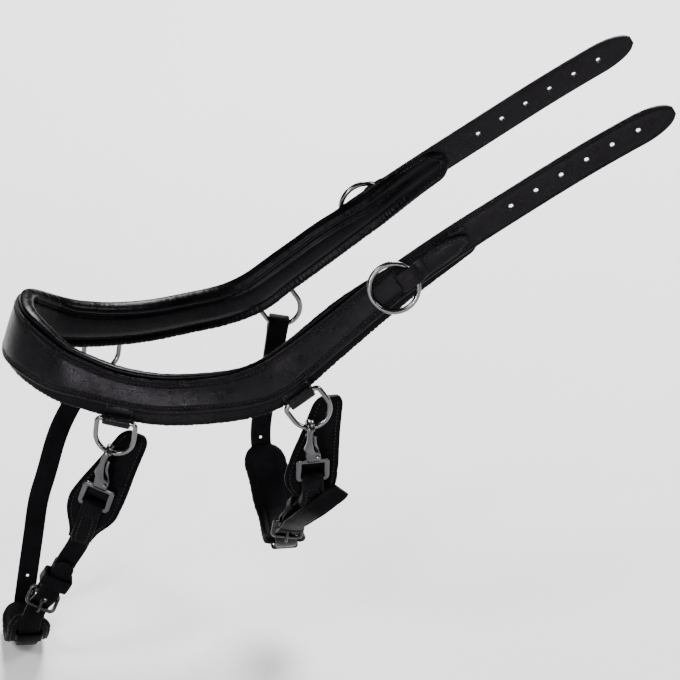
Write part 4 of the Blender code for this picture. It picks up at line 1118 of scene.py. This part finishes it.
def billet(end, route, spec):
    """The long strap: from its tip through the buckle, under the chin and round the D ring."""
    heel = spec["buckle"]
    stop = route.length
    bend = D_WIRE / 2 + GAP + 1.1 + LOW_LEATHER / 2
    rise = LOW_FACE + GAP + 0.05
    front = heel + BUCKLE_LENGTH
    line = [(heel - 1, rise), (heel + 1.0, rise), (heel + 3.4, rise - 0.7), (front - 4.5, 0.6),
            (front - 2, -0.75), (front, -1.25), (front + 4, -PLY)]
    line += [(d, -PLY) for d in np.linspace(front + 9, stop - 16, round((stop - front - 25) / 7))]
    line += [(stop - 9, -PLY), (stop - 4.5, -PLY - 1.3)] + fold(stop, 0, bend, 1)
    line += [(stop - 4.5, PLY + 1.3), (stop - 9, PLY), (stop - 16, PLY), (stop - RETURN, PLY)]
    if spec["tip_rows"]:
        # The free tip stands off the strap, along rows of its own
        places = on_route(route, fine(line))
        bow = d_bow(spec["place"])
        free = smooth_rows([places[0][0]] + [bow + row for row in spec["tip_rows"]], 6)
        count = len(free) - 1
        tip = []
        for index in range(count, 0, -1):
            share = min(1.0, index / count * 1.5)
            wide = places[0][1] * (1 - share) + np.array([0.0, -0.76, 0.65]) * share
            tip.append((free[index], unit(wide)))
        places = tip + places
        shares = [0.8, 0.9, 0.97]
    else:
        # The tip lies under the keeper, on the near strap
        top = spec["tip"]
        lead = [(top + d, PLY) for d in (1.2, 3.2, 6)]
        lead += [(d, PLY) for d in shared_distances(spec, top + 9, heel - 12)]
        lead += [(heel - 6.5, PLY), (heel - 3.2, PLY + 1.0)]
        body = fine(lead + line)
        gap = body[0][0] - top
        tip = [(top + e * gap / BILLET_TIP * 0.98, PLY) for e in end_steps(BILLET_TIP, 9)[:-1]]
        places = on_route(route, tip + body)
        shares = [max(0.3, round_end(d - top, BILLET_TIP)) for d, _ in (tip + body)[:40]]
    widths = [LOW_WIDTH / 2 * share for share in shares]
    widths += [LOW_WIDTH / 2] * (len(places) - len(widths))
    folded = sum(1 for d, o in fine(line) if d > stop - 16 or o > 0 and d > front + 9)
    obj = ply(places, LOW_LEATHER, widths, len(places) - folded)
    punch(obj, [(route.at(d, 0, -LOW_FACE), -route.sides(d)[1], HOLE_LOW / 2 - 0.6)
                for d in spec["holes"]])
    cut_with(obj, route_slot(route, heel + 2.0, front - 2.8 - heel - 2.0, HOLE_LOW / 2, -2.5, 5.2))
    dress(obj, f"{end}_long_leather", LOWER, f"{end}_loop", "black_leather", f"{end}_billet")
    sewn_return(f"{end}_far_stitches", route, f"{end}_loop", stop - RETURN + 2, stop - 9,
                (stop - 9, stop - RETURN + 1.6))


def chin_pad(end, route, spec):
    """The soft pad under the chin, held by two leather runners."""
    start, stop = spec["pad"]
    outer = -LOW_FACE - 1.5 * GAP

    def pad_share(d):
        share = round_end(min(d - start, stop - d), CHIN_TIP)
        return share, CHIN_WIDTH / 2 * (0.35 + 0.65 * share) / 1.06

    rings = []
    for d in places_between(start, stop, CHIN_TIP, 12, 1.2, 0.6, 1.2):
        share, half = pad_share(d)
        t = CHIN_THICKNESS * (0.45 + 0.55 * share)
        crease = max(0.0, wave(d, 0.35, 8.0) - 0.2) * 0.5
        rim = 0.02 * wave(d, 0.8, 6.0)
        outline = ((1.0 + rim, 0.0), (1.06 + rim, 0.35), (0.98, 0.75), (0.82, 0.93), (0.66, 0.9),
                   (0.44, 1.0 - crease * 0.08))
        section = [(half * a, outer - t * o) for a, o in outline]
        section = smooth_rows(section + [(-a, o) for a, o in reversed(section)])
        rings.append([route.at(d, a, o) for a, o in section])
    obj = skin(rings, sharp=80)
    node = f"{end}_chin_pad"
    dress(obj, f"{end}_cushion", CUSHION, node, "soft_lining", node)
    half = LOW_WIDTH / 2 + 0.6 + 0.8
    high = -PLY + LOW_LEATHER / 2 + GAP + 1.0
    corner = 1.3
    path = [(half, outer - 1.6), (half, outer - 0.4), (half, high - corner)]
    path += [(half - corner + corner * math.cos(t), high - corner + corner * math.sin(t))
             for t in np.linspace(0.3, math.pi / 2, 4)]
    path += [(half * 0.4, high), (0.0, high)]
    path += [(-a, o) for a, o in reversed(path[:-1])]
    for index, place in enumerate((start + 16, stop - 16)):
        obj = leather_band(route, place, path, 1.2, 7.0, False)
        dress(obj, f"{end}_runner_{index}", LOWER, node, "black_leather")

    def row(side):
        return lambda d: (route.at(d, side * (pad_share(d)[1] - 1.7), outer + 0.05),
                          route.sides(d)[1])

    seam(f"{end}_cushion_stitches", both_edges(row, start + 3, stop - 3), node)


# The snaps

class SnapFrame:
    """Places from the D ring's wire: sideways from the eye's middle, up the hook, outward."""

    def __init__(self, route, contact, down):
        self.contact = contact
        self.wide, self.out = route.sides(0)
        self.up = -down

    def at(self, side, up, out):
        return self.contact + self.wide * (side - HOOK_SIDE) + self.up * up + self.out * out


def oval(count, power, shift=0.0):
    """Places round an oval of half size one, squarer with a higher power."""
    turns = [math.tau * (k + shift) / count for k in range(count)]
    return [[math.copysign(abs(size) ** (2 / power), size) for size in (math.cos(t), math.sin(t))]
            for t in turns]


def bar(points, flat, halves, loop=False, power=2.6):
    """A bar along points: half sizes along the flat direction and across it."""
    points = np.array(points, float)
    halves = list(halves) * (len(points) if len(halves) == 1 else 1)
    rings = []
    for index, (point, (wide, thick)) in enumerate(zip(points, halves)):
        before, after = neighbours(points, index, loop)
        along = unit(after - before)
        side = unit(flat - along * np.dot(flat, along))
        other = np.cross(along, side)
        rings.append([point + side * wide * c + other * thick * s for c, s in oval(18, power)])
    return skin(rings, loop=loop)


def plate(snap, sections, power=4.0):
    """A solid through sections of (up, middle sideways, middle outward, half, half)."""
    return skin([[snap.at(side + half_side * c, up, out + half_out * s)
                  for c, s in oval(24, power, 0.5)]
                 for up, side, out, half_side, half_out in smooth_rows(sections)])


def rivet_bore(snap, reach, play):
    """A cutter for the rivet through the fork and the lever."""
    ends = [snap.at(GATE_SIDE, -GATE_PIVOT, o) for o in (-reach, reach)]
    return bar(ends, snap.up, [(RIVET / 2 + play, RIVET / 2 + play)], power=2.0)


def remesh_skin(obj, voxel, passes):
    remesh = obj.modifiers.new("Skin", "REMESH")
    remesh.mode = "VOXEL"
    remesh.voxel_size = voxel * MM
    if passes:
        smooth = obj.modifiers.new("Ease", "SMOOTH")
        smooth.factor = 0.5
        smooth.iterations = passes
    apply_modifiers(obj)


def cast(parts, cutters, voxel, passes):
    """One skin round several solids, less the cutters, with its corners eased."""
    obj = join(parts)
    remesh_skin(obj, voxel, 0)
    for cutter in cutters:
        cut_with(obj, cutter)
    remesh_skin(obj, voxel, passes)
    select_only(obj)
    bpy.ops.object.shade_smooth()
    return obj


def snap_hook(end, snap):
    """The fixed hook, its flat body with a fork for the lever, and the strap's eye."""
    bend = HOOK_BEND
    body = plate(snap, (
        (-7.0, HOOK_SIDE, bend, 1.7, 1.3), (-11, HOOK_SIDE + 0.1, bend - 0.6, 2.4, 1.6),
        (-14.3, HOOK_SIDE + 0.1, bend - 1.9, 3.0, 2.1), (-17.0, HOOK_SIDE - 0.9, 1.7, 3.0, 2.3),
        (-19.2, 0.4, 0.4, 4.5, 2.8), (-GATE_PIVOT - 2.0, 0.0, 0.3, 4.6, 2.8),
        (-EYE_TOP, 0, 0, 4.3, 1.8)))

    def bow(radius, start, stop, count):
        return [(-1 + radius * math.sin(t), radius * math.cos(t))
                for t in np.linspace(start, stop, count)]

    hook = [(-10.0, bend - 0.2), (-5.0, bend), *bow(bend, 0, math.pi, 26), (-3.5, -bend),
            (-5.4, -bend)]
    halves = [(HOOK_WIDTH / 2, HOOK_STOCK / 2)] * (len(hook) - 2) + [(1.6, 1.25), (1.25, 0.95)]
    crest = bar([snap.at(HOOK_SIDE, up, out) for up, out in hook], snap.wide, halves, power=2.2)
    halves = [(0.5, 0.5), (0.8, 0.8)] + [(1.1, 1.05)] * 18 + [(0.8, 0.8), (0.5, 0.5)]
    rib = bar([snap.at(HOOK_SIDE - 2.1, up, out)
               for up, out in bow(bend - 0.2, 0.1, math.pi - 0.3, 22)], snap.wide, halves,
              power=2.0)
    half = (EYE_WIDTH - EYE_WIRE) / 2 + 0.25
    eighths = [k / 8 for k in range(1, 8)]
    line = rounded_path(half, -EYE_BOTTOM, -EYE_TOP, 1.6, 6, ((), eighths, (), eighths))
    halves = []
    for side, up in line:
        arm = ease(2.0 - abs(abs(side) - half))
        halves.append((EYE_WIRE / 2 - 0.15 + 0.1 * arm, EYE_WIRE / 2 + 0.28 * arm))
    eye = bar([snap.at(side, up, 0) for side, up in line], snap.out, halves, loop=True, power=4.0)
    fork = plate(snap, [(up, -4.6, 0.0, 3.5, 1.35) for up in (-14.0, -GATE_PIVOT - 2.1)], 12.0)
    obj = cast([crest, rib, eye, body], [fork, rivet_bore(snap, 6, 0.2)], 0.24, 3)
    dress(obj, f"{end}_snap_hook", SATIN_STEEL, f"{end}_loop", "polished_steel", f"{end}_snap")


def snap_lever(end, snap):
    """The sprung lever that closes the hook from its side."""
    bend = HOOK_BEND
    top = HOOK_SIDE - 3.1
    half = GATE_STOCK / 2
    path = ((GATE_SIDE, -GATE_PIVOT - 1.2, 0.0), (GATE_SIDE, -GATE_PIVOT + 1.4, 0.0),
            (-2.6, -17.8, 0.1), (-2.1, -15.6, 1.0), (-1.3, -13.2, 2.4),
            (-0.4, -10.4, bend - 1.0), (top - 0.1, -7.0, bend), (top, -3.6, bend - 0.2))
    widths = [(1.2, 0.95), (1.3, 0.95), (half, 0.95)] + [(half, 1.0)] * 4 + [(half * 0.85, 0.85)]
    rows = smooth_rows([(*p, *w) for p, w in zip(path, widths)], 5)
    lever = bar([snap.at(*row[:3]) for row in rows], snap.wide, rows[:, 3:], power=3.0)
    nose = smooth_rows([(-0.3, -9.8, bend - 1.2), (-0.3, -9.8, 0.0), (-0.3, -9.8, -bend + 1.4),
                        (0.4, -9.4, -bend), (HOOK_SIDE + 0.9, -8.6, -bend)], 5)
    tip = bar([snap.at(*row) for row in nose], snap.up, [(1.0, 0.8)])
    obj = cast([tip, lever], [rivet_bore(snap, 4, 0.15)], 0.18, 2)
    node = f"{end}_snap_lever"
    dress(obj, f"{end}_lever", SATIN_STEEL, node, "polished_steel", node)


def lower_strap(end, spec):
    route, contact, down = lower_route(spec)
    for piece in (snap_strap, guard, billet, buckle, tongue, keeper, chin_pad):
        piece(end, route, spec)
    snap = SnapFrame(route, contact, down)
    snap_hook(end, snap)
    snap_lever(end, snap)
    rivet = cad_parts[f"{end}_snap_rivet"]
    rivet.data.materials.clear()
    rivet.data.materials.append(STEEL)


# Camera, floor and lights

LOOK_AT = Vector((0.0, 0.195, -0.019))
DISTANCE = 2.289
AZIMUTH = math.radians(83.07)
ELEVATION = math.radians(24.0)
ROLL = math.radians(-0.76)
LENS = 193.9


def add_camera():
    back = Vector((math.sin(AZIMUTH) * math.cos(ELEVATION),
                   -math.cos(AZIMUTH) * math.cos(ELEVATION), math.sin(ELEVATION)))
    right = Vector((math.cos(AZIMUTH), math.sin(AZIMUTH), 0.0))
    up = back.cross(right)
    turned = right * math.cos(ROLL) + up * math.sin(ROLL)
    upright = up * math.cos(ROLL) - right * math.sin(ROLL)
    bpy.ops.object.camera_add()
    camera = bpy.context.object
    camera.matrix_world = (Matrix.Translation(LOOK_AT + back * DISTANCE)
                           @ Matrix((turned, upright, back)).transposed().to_4x4())
    camera.data.sensor_width = 36.0
    camera.data.lens = LENS
    camera.data.clip_end = 50.0
    bpy.context.scene.camera = camera


def add_light(name, place, size, power):
    bpy.ops.object.light_add(type="AREA", location=place)
    light = bpy.context.object
    light.name = name
    light.data.shape = "DISK"
    light.data.size = size
    light.data.energy = power
    light.rotation_euler = (LOOK_AT - Vector(place)).to_track_quat("-Z", "Y").to_euler()


def add_studio():
    deselect()
    bpy.ops.mesh.primitive_plane_add(size=12.0, location=(0, 0.2, cad_low.z - 0.0008))
    floor = bpy.context.object
    floor.name = "floor"
    bpy.ops.object.transform_apply(location=True, rotation=True, scale=True)
    finish = Finish("pale_floor")
    haze = finish.texture("Noise", Scale=3.0, Detail=2.0)
    finish.colour(haze, (0.3, (0.86, 0.86, 0.86)), (0.7, (0.9, 0.9, 0.9)))
    finish.shader.inputs["Roughness"].default_value = 0.9
    floor.data.materials.append(finish.material)
    world = bpy.context.scene.world or bpy.data.worlds.new("studio")
    bpy.context.scene.world = world
    world.use_nodes = True
    background = world.node_tree.nodes["Background"]
    background.inputs["Color"].default_value = (1.0, 1.0, 1.0, 1.0)
    background.inputs["Strength"].default_value = 0.08
    add_light("key", (1.2, -2.0, 2.0), 1.0, 60)
    add_light("back", (-1.7, 0.6, 1.8), 1.0, 150)
    add_light("rear", (0.6, 2.4, 1.9), 1.2, 70)
    add_light("low", (2.1, -0.85, 0.34), 0.34, 38)
    add_light("side", (2.35, 0.2, 0.02), 0.3, 7)


add_camera()
add_studio()
band_strap()
band_lining()
for side, sign in (("left", 1), ("right", -1)):
    for end, place in zip(("front", "rear"), D_PLACES):
        d_rings(end, side, sign * place)
        d_leather(end, side, sign * place)
    cheek_ring(side, sign)
    ring_tab(side, sign)
lower_strap("front", FRONT_STRAP_ROUTE)
lower_strap("rear", REAR_STRAP_ROUTE)
